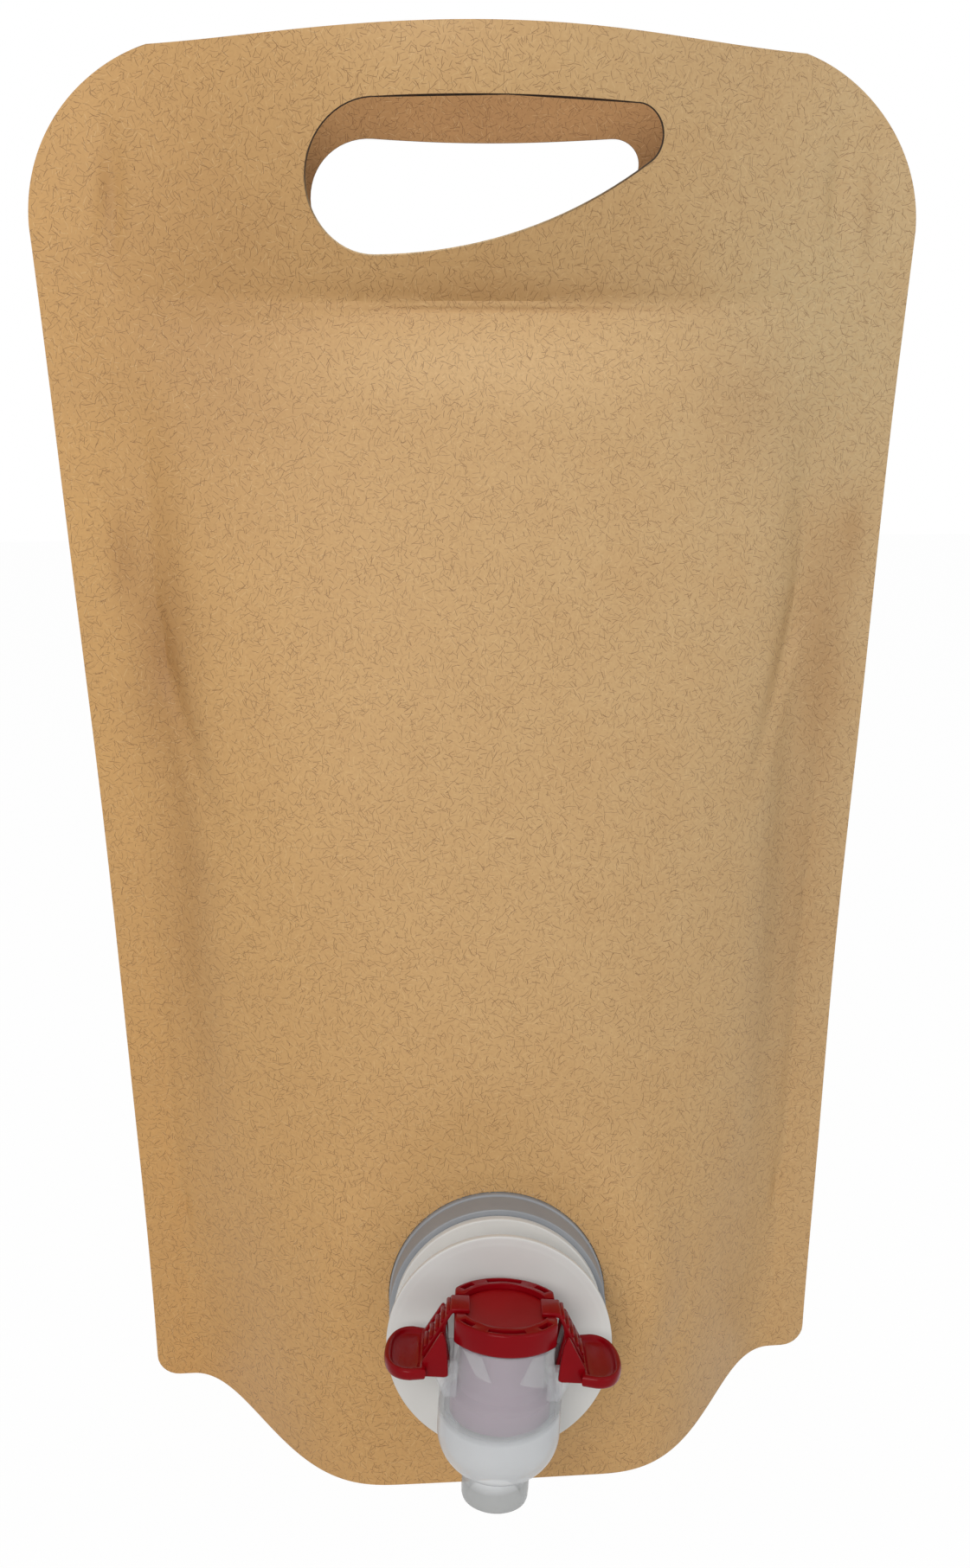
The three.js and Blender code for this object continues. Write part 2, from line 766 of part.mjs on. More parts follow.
const glandFrame = new THREE.Group();
glandFrame.rotation.order = 'ZXY';
glandFrame.rotation.set(-tilt, 0, pan);
glandFrame.position.copy(glandSeat).addScaledVector(outward, panelBehindFlange);
glandFrame.updateMatrix();

const tapFrame = new THREE.Group();
tapFrame.rotation.y = THREE.MathUtils.degToRad(tapTurn);
tapFrame.add(
  buildTapBody(),
  buildCapRing(),
  buildButton(),
  buildWing('left_wing', -1),
  buildWing('right_wing', 1),
  buildDiaphragm(),
  buildStem(),
  buildPlug(),
);
glandFrame.add(buildGland(), tapFrame);

const pouchWithTap = new THREE.Group();
pouchWithTap.add(buildPouch(glandFrame.matrix), glandFrame);

// The origin is under the middle of the whole object, on the surface it stands on
pouchWithTap.updateMatrixWorld(true);
const extent = new THREE.Box3().setFromObject(pouchWithTap, true);
const middle = extent.getCenter(new THREE.Vector3());
pouchWithTap.position.set(-middle.x, -middle.y, -extent.min.z);

export default pouchWithTap;
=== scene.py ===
import json
import math

import bmesh
import bpy
import numpy as np
from mathutils import Matrix, Vector


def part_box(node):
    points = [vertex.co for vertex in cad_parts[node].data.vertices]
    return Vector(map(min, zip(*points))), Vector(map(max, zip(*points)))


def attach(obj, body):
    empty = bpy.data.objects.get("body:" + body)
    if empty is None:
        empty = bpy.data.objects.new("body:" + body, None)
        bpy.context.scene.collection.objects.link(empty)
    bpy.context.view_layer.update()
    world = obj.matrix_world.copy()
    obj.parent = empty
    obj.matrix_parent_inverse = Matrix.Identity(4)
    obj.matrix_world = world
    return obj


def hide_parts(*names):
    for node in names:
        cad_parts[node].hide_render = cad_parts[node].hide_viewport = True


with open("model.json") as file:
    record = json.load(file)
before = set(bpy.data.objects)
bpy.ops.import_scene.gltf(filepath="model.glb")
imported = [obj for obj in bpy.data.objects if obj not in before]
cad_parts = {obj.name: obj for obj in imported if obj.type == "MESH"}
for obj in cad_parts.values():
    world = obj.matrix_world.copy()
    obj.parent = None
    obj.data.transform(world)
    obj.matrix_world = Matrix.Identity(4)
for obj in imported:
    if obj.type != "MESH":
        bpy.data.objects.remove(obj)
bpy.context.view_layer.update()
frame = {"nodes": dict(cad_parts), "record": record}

mm = 0.001

# Where things are: the seal plane of the pouch and the tap's own tilted frame, both from the CAD

joints = {joint["name"]: joint for joint in frame["record"]["behaviour"]["joints"]}
tapOut = Vector(joints["tap_swivel"]["axis"])
tapUp = -Vector(joints["button_press"]["axis"])
tapSide = tapUp.cross(tapOut)
tapPlace = Matrix((tapSide, -tapOut, tapUp)).transposed().to_4x4()
tapPlace.translation = Vector(joints["tap_swivel"]["pos_m"])
tapPlace = tapPlace @ Matrix.Scale(mm, 4)

# Sizes in millimetres; the outline is the same as in the part's source
bag = {
    "height": 316.3, "topHalfWidth": 96.0, "baseHalfWidth": 85.7, "sideFlare": 1.55,
    "baseHalfDepth": 43.8, "taper": 1.6, "sealHeight": 264.0, "sealBand": 3.0,
    "sideSeal": 9.0, "film": 0.6, "roundedHeight": 90.0, "pinchStart": 0.3,
    "pinchCurve": 1.35, "pillowCurve": 2.4, "gripOpening": 25.5, "gripRise": 0.9,
    "gripNarrowing": 2.2, "cornerRadius": 35.2, "cornerDrop": 34.3, "baseCorner": 5.5,
    "sheet": 0.35, "sheetGap": 0.03, "sealFadeIn": 0.6, "sealFadeOut": 0.4, "gussetRise": 5.0,
}
glandSize = {"height": 47.4, "behindFlange": 22.3, "foot": 24.7, "weld": 4.5, "flatMargin": 2.0}
chamberForward = 14.3  # from the face of the disc to the chamber's axis
nozzleTop = -18.5
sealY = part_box("pouch")[1][1] - (bag["baseHalfDepth"] + bag["film"]) * mm
bagPlace = Matrix.Translation((0, sealY, 0)) @ Matrix.Scale(mm, 4)


# Small helpers for meshes

def shown(name, mesh):
    obj = bpy.data.objects.new(name, mesh)
    bpy.context.scene.collection.objects.link(obj)
    return obj


def formed(name, shells, materials):
    form = bmesh.new()
    for points, faces, slotNumber in shells:
        made = [form.verts.new(point) for point in points]
        for face in faces:
            patch = form.faces.new([made[i] for i in face])
            patch.material_index = slotNumber
    bmesh.ops.recalc_face_normals(form, faces=form.faces)
    mesh = bpy.data.meshes.new(name)
    form.to_mesh(mesh)
    form.free()
    for material in materials:
        mesh.materials.append(material)
    return shown(name, mesh)


def solid(name, shape, material):
    return formed(name, [(*shape, 0)], [material])


def baked(obj):
    graph = bpy.context.evaluated_depsgraph_get()
    mesh = bpy.data.meshes.new_from_object(obj.evaluated_get(graph))
    obj.modifiers.clear()
    obj.data = mesh
    return obj


def cutBy(obj, cutters):
    for cutter in cutters:
        knife = obj.modifiers.new("cut", "BOOLEAN")
        knife.operation = "DIFFERENCE"
        knife.solver = "EXACT"
        knife.material_mode = "TRANSFER"
        knife.object = cutter
    baked(obj)
    for cutter in cutters:
        bpy.data.objects.remove(cutter)
    return obj


def rounded(obj, width, segments=2, angle=35):
    edge = obj.modifiers.new("edges", "BEVEL")
    edge.width = width
    edge.segments = segments
    edge.limit_method = "ANGLE"
    edge.angle_limit = math.radians(angle)
    edge.use_clamp_overlap = True
    return baked(obj)


def settled(obj, place, angle=35):
    mesh = obj.data
    mesh.transform(place)
    mesh.shade_smooth()
    mesh.set_sharp_from_angle(angle=math.radians(angle))
    return obj


def turned(profile, segments, closed=False, radiusAt=None, along="z", centre=(0, 0, 0)):
    points = []
    rings = []
    for radius, height in profile:
        if radius == 0:
            rings.append([len(points)] * segments)
            points.append((0, 0, height))
            continue
        rings.append(list(range(len(points), len(points) + segments)))
        for k in range(segments):
            angle = 2 * math.pi * k / segments
            reach = radiusAt(radius, angle, height) if radiusAt else radius
            points.append((reach * math.cos(angle), reach * math.sin(angle), height))
    pairs = list(zip(rings, rings[1:]))
    if closed:
        pairs.append((rings[-1], rings[0]))
    faces = []
    for low, high in pairs:
        for k in range(segments):
            n = (k + 1) % segments
            face = list(dict.fromkeys((low[k], low[n], high[n], high[k])))
            if len(face) > 2:
                faces.append(face)
    if along == "y":
        points = [(x, z, y) for x, y, z in points]
    return [(x + centre[0], y + centre[1], z + centre[2]) for x, y, z in points], faces


def disc(radius, low, high, segments, along="z", centre=(0, 0, 0)):
    profile = [(0, low), (radius, low), (radius, high), (0, high)]
    return turned(profile, segments, along=along, centre=centre)


def extruded(outline, low, high, along="z", centre=(0, 0, 0)):
    count = len(outline)
    points = [(x, y, low) for x, y in outline] + [(x, y, high) for x, y in outline]
    faces = [list(range(count)), list(range(count, 2 * count))]
    for k in range(count):
        n = (k + 1) % count
        faces.append((k, n, count + n, count + k))
    if along == "y":
        points = [(x, z, y) for x, y, z in points]
    return [(x + centre[0], y + centre[1], z + centre[2]) for x, y, z in points], faces


def arc(centre, radius, start, end, steps):
    angles = np.radians(np.linspace(start, end, steps + 1))
    return [(centre[0] + radius * math.cos(a), centre[1] + radius * math.sin(a)) for a in angles]


def softened(profile, radius, steps=4, share=0.45):
    result = []
    count = len(profile)
    for i, corner in enumerate(profile):
        here = Vector(corner)
        before = Vector(profile[i - 1]) - here
        after = Vector(profile[(i + 1) % count]) - here
        reach = min(radius, before.length * share, after.length * share)
        start = here + before.normalized() * reach
        end = here + after.normalized() * reach
        for k in range(steps + 1):
            t = k / steps
            point = start * (1 - t) ** 2 + here * 2 * t * (1 - t) + end * t ** 2
            result.append((point.x, point.y))
    return result


def sheetBetween(outer, inner):
    rows, columns, _ = outer.shape
    points = [tuple(p) for p in outer.reshape(-1, 3)] + [tuple(p) for p in inner.reshape(-1, 3)]
    shift = rows * columns

    def at(row, column):
        return row * columns + column

    skin = []
    lining = []
    for row in range(rows - 1):
        for column in range(columns - 1):
            quad = (at(row, column), at(row, column + 1), at(row + 1, column + 1), at(row + 1, column))
            skin.append(quad)
            lining.append(tuple(shift + i for i in reversed(quad)))
    border = [at(0, c) for c in range(columns)]
    border += [at(r, columns - 1) for r in range(1, rows)]
    border += [at(rows - 1, c) for c in range(columns - 2, -1, -1)]
    border += [at(r, 0) for r in range(rows - 2, 0, -1)]
    rim = [(b, a, shift + a, shift + b) for a, b in zip(border, border[1:] + border[:1])]
    return points, skin, lining, rim


def sheetPiece(name, outer, inner, materials):
    points, skin, lining, rim = sheetBetween(outer, inner)
    mesh = bpy.data.meshes.new(name)
    mesh.from_pydata(points, [], skin + lining + rim)
    numbers = [0] * len(skin) + [1] * len(lining) + [2] * len(rim)
    mesh.polygons.foreach_set("material_index", numbers)
    for material in materials:
        mesh.materials.append(material)
    form = bmesh.new()
    form.from_mesh(mesh)
    bmesh.ops.recalc_face_normals(form, faces=form.faces)
    form.to_mesh(mesh)
    form.free()
    return shown(name, mesh)


# Small helpers for node trees

def addNode(tree, kind, inputs=(), **settings):
    node = tree.nodes.new(kind)
    for name, value in settings.items():
        setattr(node, name, value)
    for key, value in dict(inputs).items():
        if isinstance(value, bpy.types.NodeSocket):
            tree.links.new(value, node.inputs[key])
        else:
            node.inputs[key].default_value = value
    return node


def calculated(tree, operation, first, second=0.0, third=0.0):
    node = addNode(tree, "ShaderNodeMath", {0: first, 1: second, 2: third}, operation=operation)
    return node.outputs[0]


def times(tree, first, second):
    return calculated(tree, "MULTIPLY", first, second)


def spread(tree, value, low, high):
    inputs = {"Value": value, "From Min": low, "From Max": high}
    return addNode(tree, "ShaderNodeMapRange", inputs).outputs["Result"]


def mixed(tree, share, first, second):
    node = addNode(tree, "ShaderNodeMix", {0: share, 6: first, 7: second}, data_type="RGBA")
    return node.outputs[2]


def speckled(tree, place, scale, detail=2.0, shift=0.0):
    moved = addNode(tree, "ShaderNodeMapping", {"Vector": place, "Location": (shift, shift * 0.7, -shift)})
    inputs = {"Vector": moved.outputs[0], "Scale": scale, "Detail": detail}
    return addNode(tree, "ShaderNodeTexNoise", inputs).outputs["Fac"]


# Linear colour from the 0 to 255 values in which a tone is written
def colour(red, green, blue):
    shares = [value / 255 for value in (red, green, blue)]
    return tuple(v / 12.92 if v < 0.04045 else ((v + 0.055) / 1.055) ** 2.4 for v in shares) + (1.0,)


def startedMaterial(name, roughness, **settings):
    material = bpy.data.materials.new(name)
    material.use_nodes = True
    tree = material.node_tree
    shader = tree.nodes["Principled BSDF"]
    shader.inputs["Roughness"].default_value = roughness
    for key, value in settings.items():
        shader.inputs[key.replace("_", " ")].default_value = value
    place = addNode(tree, "ShaderNodeTexCoord").outputs["Object"]
    return material, tree, shader, place


def axisParts(tree, vector):
    return addNode(tree, "ShaderNodeSeparateXYZ", {0: vector}).outputs


# One drawn fibre in each cell of a pattern: its drift, its soft edges, its length and its strength
stroke = {
    "drift": -0.6, "fullTurn": 6.28, "core": 0.3, "shortest": -0.35, "endSoftness": 3,
    "shadeStep": 7.13, "shadeReach": 0.7, "shadeLeast": 0.3,
}


def fibreStrokes(tree, flat, look, shift):
    width = look["fibreWidth"]
    length = look["fibreLength"]
    moved = addNode(tree, "ShaderNodeMapping", {
        "Vector": flat, "Location": (shift, shift * stroke["drift"], 0),
    }).outputs[0]
    cells = addNode(tree, "ShaderNodeTexVoronoi", {
        "Vector": moved, "Scale": look["fibreScale"],
    }, voronoi_dimensions="2D")
    local = addNode(tree, "ShaderNodeVectorMath", {
        0: moved, 1: cells.outputs["Position"],
    }, operation="SUBTRACT")
    chance = axisParts(tree, cells.outputs["Color"])
    lying = addNode(tree, "ShaderNodeVectorRotate", {
        "Vector": local.outputs[0], "Angle": times(tree, chance[0], stroke["fullTurn"]),
    }, rotation_type="Z_AXIS")
    along, across, _ = axisParts(tree, lying.outputs[0])
    bend = times(tree, calculated(tree, "SUBTRACT", chance[1], 0.5), look["fibreBend"])
    curve = times(tree, bend, times(tree, along, along))
    offset = calculated(tree, "ABSOLUTE", calculated(tree, "SUBTRACT", across, curve))
    line = spread(tree, offset, width, width * stroke["core"])
    half = calculated(tree, "MULTIPLY_ADD", chance[2], length, stroke["shortest"] * length)
    beyond = calculated(tree, "SUBTRACT", calculated(tree, "ABSOLUTE", along), half)
    ends = spread(tree, beyond, width * stroke["endSoftness"], width)
    shade = calculated(tree, "FRACT", times(tree, chance[0], stroke["shadeStep"]))
    shade = calculated(tree, "MULTIPLY_ADD", shade, stroke["shadeReach"], stroke["shadeLeast"])
    return times(tree, times(tree, line, ends), shade)


# A soft round mark, strongest in its middle
def softSpot(tree, x, z, spot):
    centreX, centreZ, wide, high, share, _ = spot
    across = calculated(tree, "DIVIDE", calculated(tree, "SUBTRACT", x, centreX * mm), wide * mm)
    above = calculated(tree, "DIVIDE", calculated(tree, "SUBTRACT", z, centreZ * mm), high * mm)
    away = calculated(tree, "MULTIPLY_ADD", above, above, times(tree, across, across))
    faded = calculated(tree, "EXPONENT", times(tree, away, -1.0))
    return times(tree, faded, share)


paper = {
    "halfWidth": 0.095, "middle": (0.3, 0.7), "cloudScale": 75, "cloudDetail": 4.0, "cloudShare": 0.3,
    "grainScale": 1500, "grainDetail": 3.0, "grainShift": 2, "grainRange": (0.25, 0.75),
    "grainShare": 0.35, "paleShift": 0.371, "paleShare": 0.5, "dentShift": 0.113, "dentDepth": -0.6,
    "darkShifts": (0.229, 0.547, 0.731), "speckRange": (0.14, 0.06), "speckChance": (0.80, 0.82),
    "speckShare": 0.5, "bumpStrength": 0.25, "bumpDepth": 0.00006,
}


def kraftPaper(name, look):
    material, tree, shader, place = startedMaterial(name, look["roughness"])
    x, y, z = axisParts(tree, place)
    flat = addNode(tree, "ShaderNodeCombineXYZ", {0: x, 1: y if look["lying"] else z}).outputs[0]
    side = spread(tree, x, -paper["halfWidth"], paper["halfWidth"])
    tone = mixed(tree, side, look["left"], look["right"])
    clouds = speckled(tree, place, paper["cloudScale"], paper["cloudDetail"])
    clouds = times(tree, spread(tree, clouds, *paper["middle"]), paper["cloudShare"])
    tone = mixed(tree, clouds, tone, look["cloud"])
    # Soft spots of other tone: painted shade in folds and creases, painted light, and shifts of the paper's
    # tone
    for spot in look["toneShadeAndLightSpots"]:
        tone = mixed(tree, softSpot(tree, x, z, spot), tone, look[spot[-1]])
    grain = speckled(tree, place, paper["grainScale"], paper["grainDetail"], paper["grainShift"])
    grain = spread(tree, grain, *paper["grainRange"])
    tone = mixed(tree, times(tree, grain, paper["grainShare"]), tone, look["grain"])
    pale = fibreStrokes(tree, flat, look, paper["paleShift"])
    tone = mixed(tree, times(tree, pale, paper["paleShare"]), tone, look["paleFibre"])
    dented = fibreStrokes(tree, flat, look, paper["dentShift"])
    dark = dented
    for shift in paper["darkShifts"]:
        dark = calculated(tree, "MAXIMUM", dark, fibreStrokes(tree, flat, look, shift))
    tone = mixed(tree, times(tree, dark, look["fibreStrength"]), tone, look["darkFibre"])
    cells = addNode(tree, "ShaderNodeTexVoronoi", {"Vector": place, "Scale": look["speckScale"]})
    dot = spread(tree, cells.outputs["Distance"], *paper["speckRange"])
    chosen = spread(tree, axisParts(tree, cells.outputs["Color"])[0], *paper["speckChance"])
    specks = times(tree, times(tree, dot, chosen), paper["speckShare"])
    tone = mixed(tree, specks, tone, look["darkFibre"])
    tree.links.new(tone, shader.inputs["Base Color"])
    dents = times(tree, dented, paper["dentDepth"])
    bump = addNode(tree, "ShaderNodeBump", {
        "Strength": paper["bumpStrength"], "Distance": paper["bumpDepth"],
        "Height": calculated(tree, "ADD", grain, dents),
    })
    tree.links.new(bump.outputs[0], shader.inputs["Normal"])
    return material


moulding = {"cloudDetail": 3.0, "middle": (0.3, 0.7), "grainShift": 3, "bumpDepth": 0.00003}


def mouldedPlastic(name, look, **settings):
    material, tree, shader, place = startedMaterial(name, look["roughness"], **settings)
    clouds = speckled(tree, place, look["cloudScale"], moulding["cloudDetail"])
    tone = mixed(tree, spread(tree, clouds, *moulding["middle"]), look["tone"], look["shade"])
    if "denser" in look:  # milkier below the plunger, and another tone in the nozzle
        z = axisParts(tree, place)[2]
        low, high = look["stemEnd"]
        opacity = addNode(tree, "ShaderNodeMapRange", {
            "Value": z, "From Min": low, "From Max": high,
            "To Min": look["denser"], "To Max": look["clearer"],
        }).outputs["Result"]
        # Below the nozzle's start the tone darkens: painted shade in the nozzle
        below = spread(tree, z, look["nozzleStart"] + mm, look["nozzleStart"] - mm)
        tone = mixed(tree, below, tone, look["nozzle"])
        tree.links.new(opacity, shader.inputs["Alpha"])
    tree.links.new(tone, shader.inputs["Base Color"])
    bump = addNode(tree, "ShaderNodeBump", {
        "Strength": look["grain"], "Distance": moulding["bumpDepth"],
        "Height": speckled(tree, place, look["grainScale"], shift=moulding["grainShift"]),
    })
    tree.links.new(bump.outputs[0], shader.inputs["Normal"])
    return material


print("finishes")

kraftLook = {
    "roughness": 0.58, "left": colour(208, 162, 100), "right": colour(196, 168, 126),
    "cloud": colour(190, 148, 96), "grain": colour(178, 138, 88), "paleFibre": colour(228, 200, 152),
    "darkFibre": colour(96, 58, 26), "fibreScale": 640, "fibreWidth": 0.00007, "fibreBend": 520,
    "fibreLength": 0.0019, "fibreStrength": 0.85, "speckScale": 620, "lying": False,
    "warm": colour(208, 156, 88), "worn": colour(140, 92, 40), "pale": colour(230, 196, 148),
    "greyed": colour(186, 168, 130),
    # Soft spots of other tone: place and reach in millimetres, strength, tone. The dark brown spots are
    # painted shade, in the folds, kinks, creases and valleys and round the seal; the pale spot just below the
    # seal is painted light; the warm and greyed spots shift the tone
    "toneShadeAndLightSpots": [
        (0, 30, 120, 70, 0.4, "warm"), (-62, 266, 26, 40, 0.3, "worn"), (-73, 190, 8, 26, 0.5, "worn"),
        (-81, 213, 3, 9, 0.35, "worn"),
        (-79, 287, 1.7, 9, 0.3, "worn"), (85, 283, 1.7, 9, 0.3, "worn"), (76, 262, 26, 38, 0.55, "greyed"),
        (60, 246, 13, 13, 0.2, "worn"), (80, 188, 7, 32, 0.4, "worn"), (86, 216, 3, 8, 0.3, "worn"),
        (4, 268.5, 36, 3, 0.25, "worn"), (6, 254, 34, 9, 0.4, "pale"), (-71, 130, 7, 42, 0.24, "worn"),
        (76, 125, 8, 42, 0.28, "worn"), (4, 265.4, 34, 0.5, 0.3, "worn"),
    ],
}
liningLook = dict(
    kraftLook, left=colour(190, 144, 92), right=colour(182, 138, 90), cloud=colour(164, 122, 76),
    grain=colour(154, 112, 68), roughness=0.75, toneShadeAndLightSpots=[],
)
baseLook = dict(kraftLook, lying=True, toneShadeAndLightSpots=[])
edgeLook = dict(
    kraftLook, left=colour(216, 188, 146), right=colour(212, 184, 144), cloud=colour(190, 154, 110),
    roughness=0.9, toneShadeAndLightSpots=[],
)
# The faces cut through the sheets round the hand hole: a dark tone that is painted shade along the cut
holeCutShadeLook = dict(
    kraftLook, left=colour(112, 80, 48), right=colour(120, 88, 56), cloud=colour(96, 68, 40),
    grain=colour(84, 58, 34), paleFibre=colour(160, 126, 84), roughness=0.9, toneShadeAndLightSpots=[],
)
# The bead along the hand hole: a near black tone of painted shade, with a pale spot of painted highlight
# along the bottom of the hole
holeEdgeShadeLook = dict(
    holeCutShadeLook, left=colour(46, 34, 24), right=colour(46, 34, 24), cloud=colour(34, 25, 18),
    grain=colour(40, 29, 20), paleFibre=colour(92, 70, 46),
    toneShadeAndLightSpots=[(-10, 275, 90, 11, 0.95, "pale")],
)
kraft = kraftPaper("kraftSkin", kraftLook)
kraftBase = kraftPaper("kraftGusset", baseLook)
kraftLining = kraftPaper("kraftLining", liningLook)
kraftEdge = kraftPaper("kraftEdge", edgeLook)
holeCutShade = kraftPaper("kraftHoleCutShade", holeCutShadeLook)
holeEdgeShade = kraftPaper("holeEdgeShade", holeEdgeShadeLook)
greyPlastic = mouldedPlastic("greyGland", {
    "roughness": 0.42, "tone": colour(148, 152, 158), "shade": colour(140, 144, 151),
    "cloudScale": 90, "grainScale": 2600, "grain": 0.25,
})
discPlastic = mouldedPlastic("milkyDisc", {
    "roughness": 0.42, "tone": colour(216, 216, 215), "shade": colour(210, 210, 209),
    "cloudScale": 60, "grainScale": 1800, "grain": 0.12,
})
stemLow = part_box("valve_stem")[0][2]
clearPlastic = mouldedPlastic("milkyChamber", {
    "roughness": 0.24, "tone": colour(226, 230, 235), "shade": colour(219, 223, 229),
    # The nozzle tone is a darker painted shade of the same plastic
    "cloudScale": 60, "grainScale": 900, "grain": 0.06, "nozzle": colour(166, 169, 170),
    "stemEnd": (stemLow + 5.0 * mm, stemLow + 6.6 * mm), "denser": 0.64, "clearer": 0.27,
    "nozzleStart": (tapPlace @ Vector((0, -chamberForward, nozzleTop))).z,
})
facetPlastic = mouldedPlastic("facetPlastic", {
    "roughness": 0.16, "tone": colour(226, 230, 232), "shade": colour(222, 226, 228),
    "cloudScale": 60, "grainScale": 900, "grain": 0.04,
}, Alpha=0.16)
redPlastic = mouldedPlastic("redPlastic", {
    "roughness": 0.22, "tone": colour(132, 2, 13), "shade": colour(124, 2, 12),
    "cloudScale": 110, "grainScale": 700, "grain": 0.08,
}, Specular_IOR_Level=0.1)
dishPlastic = mouldedPlastic("redDish", {
    "roughness": 0.42, "tone": colour(144, 6, 13), "shade": colour(136, 5, 11),
    "cloudScale": 160, "grainScale": 1600, "grain": 0.25,
}, Specular_IOR_Level=0.08)
plungerPlastic = mouldedPlastic("plungerPlastic", {
    "roughness": 0.5, "tone": colour(140, 86, 118), "shade": colour(132, 80, 111),
    "cloudScale": 90, "grainScale": 900, "grain": 0.1,
})
sealRubber = mouldedPlastic("sealRubber", {
    "roughness": 0.65, "tone": colour(205, 198, 188), "shade": colour(196, 188, 178),
    "cloudScale": 120, "grainScale": 1500, "grain": 0.3,
})


# Shape of the panels, in millimetres from the plane of the side seals

def eased(value, low, high):
    t = np.clip((value - low) / (high - low), 0, 1)
    return t * t * (3 - 2 * t)


def mound(value, centre, width):
    return np.exp(-((value - centre) / width) ** 2)


def halfWidth(z):
    share = np.clip(z / (bag["height"] - bag["cornerDrop"]), 0, 1)
    return bag["baseHalfWidth"] + (bag["topHalfWidth"] - bag["baseHalfWidth"]) * share ** bag["sideFlare"]


def bagSection(x, z):
    v = np.minimum(np.abs(x) / (halfWidth(z) - bag["sideSeal"]), 1)
    along = np.clip(v - bag["pinchStart"], 0, None) / (1 - bag["pinchStart"])
    pinched = 0.5 + 0.5 * np.cos(np.pi * along ** bag["pinchCurve"])
    pillow = 1 - v ** bag["pillowCurve"]
    return pinched + (pillow - pinched) * eased(z, 0, bag["roundedHeight"])


def pocketDepth(x, z):
    start = bag["sealHeight"] + bag["sealBand"]
    rise = np.clip((z - start) / (bag["height"] - start), 0, 1)
    across = np.cos(np.pi / 2 * np.minimum(np.abs(x) / halfWidth(z), 1))
    lift = np.sin(np.pi / 2 * rise) ** bag["gripRise"]
    return bag["gripOpening"] * lift * across ** bag["gripNarrowing"]


def panelDepth(x, z):
    taper = 1 - np.minimum(z / bag["sealHeight"], 1) ** bag["taper"]
    return bag["film"] + bag["baseHalfDepth"] * taper * bagSection(x, z) + pocketDepth(x, z)


def frontDepth(x, z):
    plain = panelDepth(x, z)
    rise = glandSize["height"]
    lean = tapOut.x * x + tapOut.z * (z - rise)
    flat = panelDepth(np.zeros(1), np.full(1, rise)) + lean / tapOut.y
    away = np.hypot(x, z - rise)
    share = eased(away, glandSize["foot"] + glandSize["weld"] + glandSize["flatMargin"], rise)
    return flat + (plain - flat) * share


def outlineReach(z):
    reach = halfWidth(z)
    low = bag["baseCorner"]
    drop = np.clip(low - z, 0, low)
    reach = reach - low + np.sqrt(low ** 2 - drop ** 2)
    start = bag["height"] - bag["cornerDrop"]
    above = np.clip(z - start, 0, bag["cornerRadius"])
    corner = bag["topHalfWidth"] - bag["cornerRadius"] + np.sqrt(bag["cornerRadius"] ** 2 - above ** 2)
    return np.where(z > start, corner, reach)


creases = {
    "weldRing": 0.16, "weldWidth": 0.8, "creaseWidth": 0.55, "lineFade": (30, 72),
    "sealLine": 273.7, "sealLineDepth": 0.05, "sealCrease": 265.3, "sealCreaseDepth": 0.34,
    "lean": 0.6, "leanStep": 7,
    "dimpleX": 75.5, "dimpleHeight": 49.0, "dimpleDepth": 1.3, "dimpleWide": 1.3, "dimpleHigh": 5.5,
    "cornerX": 79.0, "cornerHeight": 285.0, "cornerDepth": 1.7, "cornerWide": 2.2, "cornerHigh": 13,
    "kinkHeight": 225.0, "kinkDepth": 2.0, "kinkWide": 3.5, "kinkHigh": 1.8, "kinkInset": 1,
    "kinkTilt": 0.35, "kinkStep": 10,
    "foldDepth": 2.4, "foldWide": 2.4, "foldInset": 2, "foldLean": 0.24, "foldStart": 8, "foldFade": (36, 84),
    "valley": 3.0, "valleyAt": 0.9, "valleyWide": 0.07, "valleyFoot": (40, 110), "valleyTop": (215, 262),
    "sway": 0.45, "swayReach": 15, "swayStep": 19, "swayPhase": 0.8, "swaySide": 0.9,
}
ripples = {
    "slow": 0.5, "slowAcross": 0.043, "slowUp": 0.029, "slowShift": 0.4,
    "quick": 0.2, "quickAcross": 0.094, "quickUp": 0.071, "quickShift": 2,
    "calmEdge": 4, "calmNear": 34, "calmFar": 70,
    "frontPhase": 1.1, "frontLines": 0.4, "backPhase": 2.3, "backLines": 1.7,
}


def softRelief(x, z, phase):
    v = np.minimum(np.abs(x) / (halfWidth(z) - bag["sideSeal"]), 1)
    away = np.hypot(x, z - glandSize["height"])
    calm = (1 - v ** ripples["calmEdge"]) * eased(away, ripples["calmNear"], ripples["calmFar"])
    slow = ripples["slow"] * np.sin(ripples["slowAcross"] * x + phase)
    slow = slow * np.sin(ripples["slowUp"] * z + ripples["slowShift"] * phase)
    quick = ripples["quick"] * np.sin(ripples["quickAcross"] * x + ripples["quickShift"] * phase)
    quick = quick * np.sin(ripples["quickUp"] * z + phase)
    valley = creases["valley"] * mound(v, creases["valleyAt"], creases["valleyWide"])
    valley = valley * eased(z, *creases["valleyFoot"]) * (1 - eased(z, *creases["valleyTop"]))
    return (slow + quick) * calm - valley


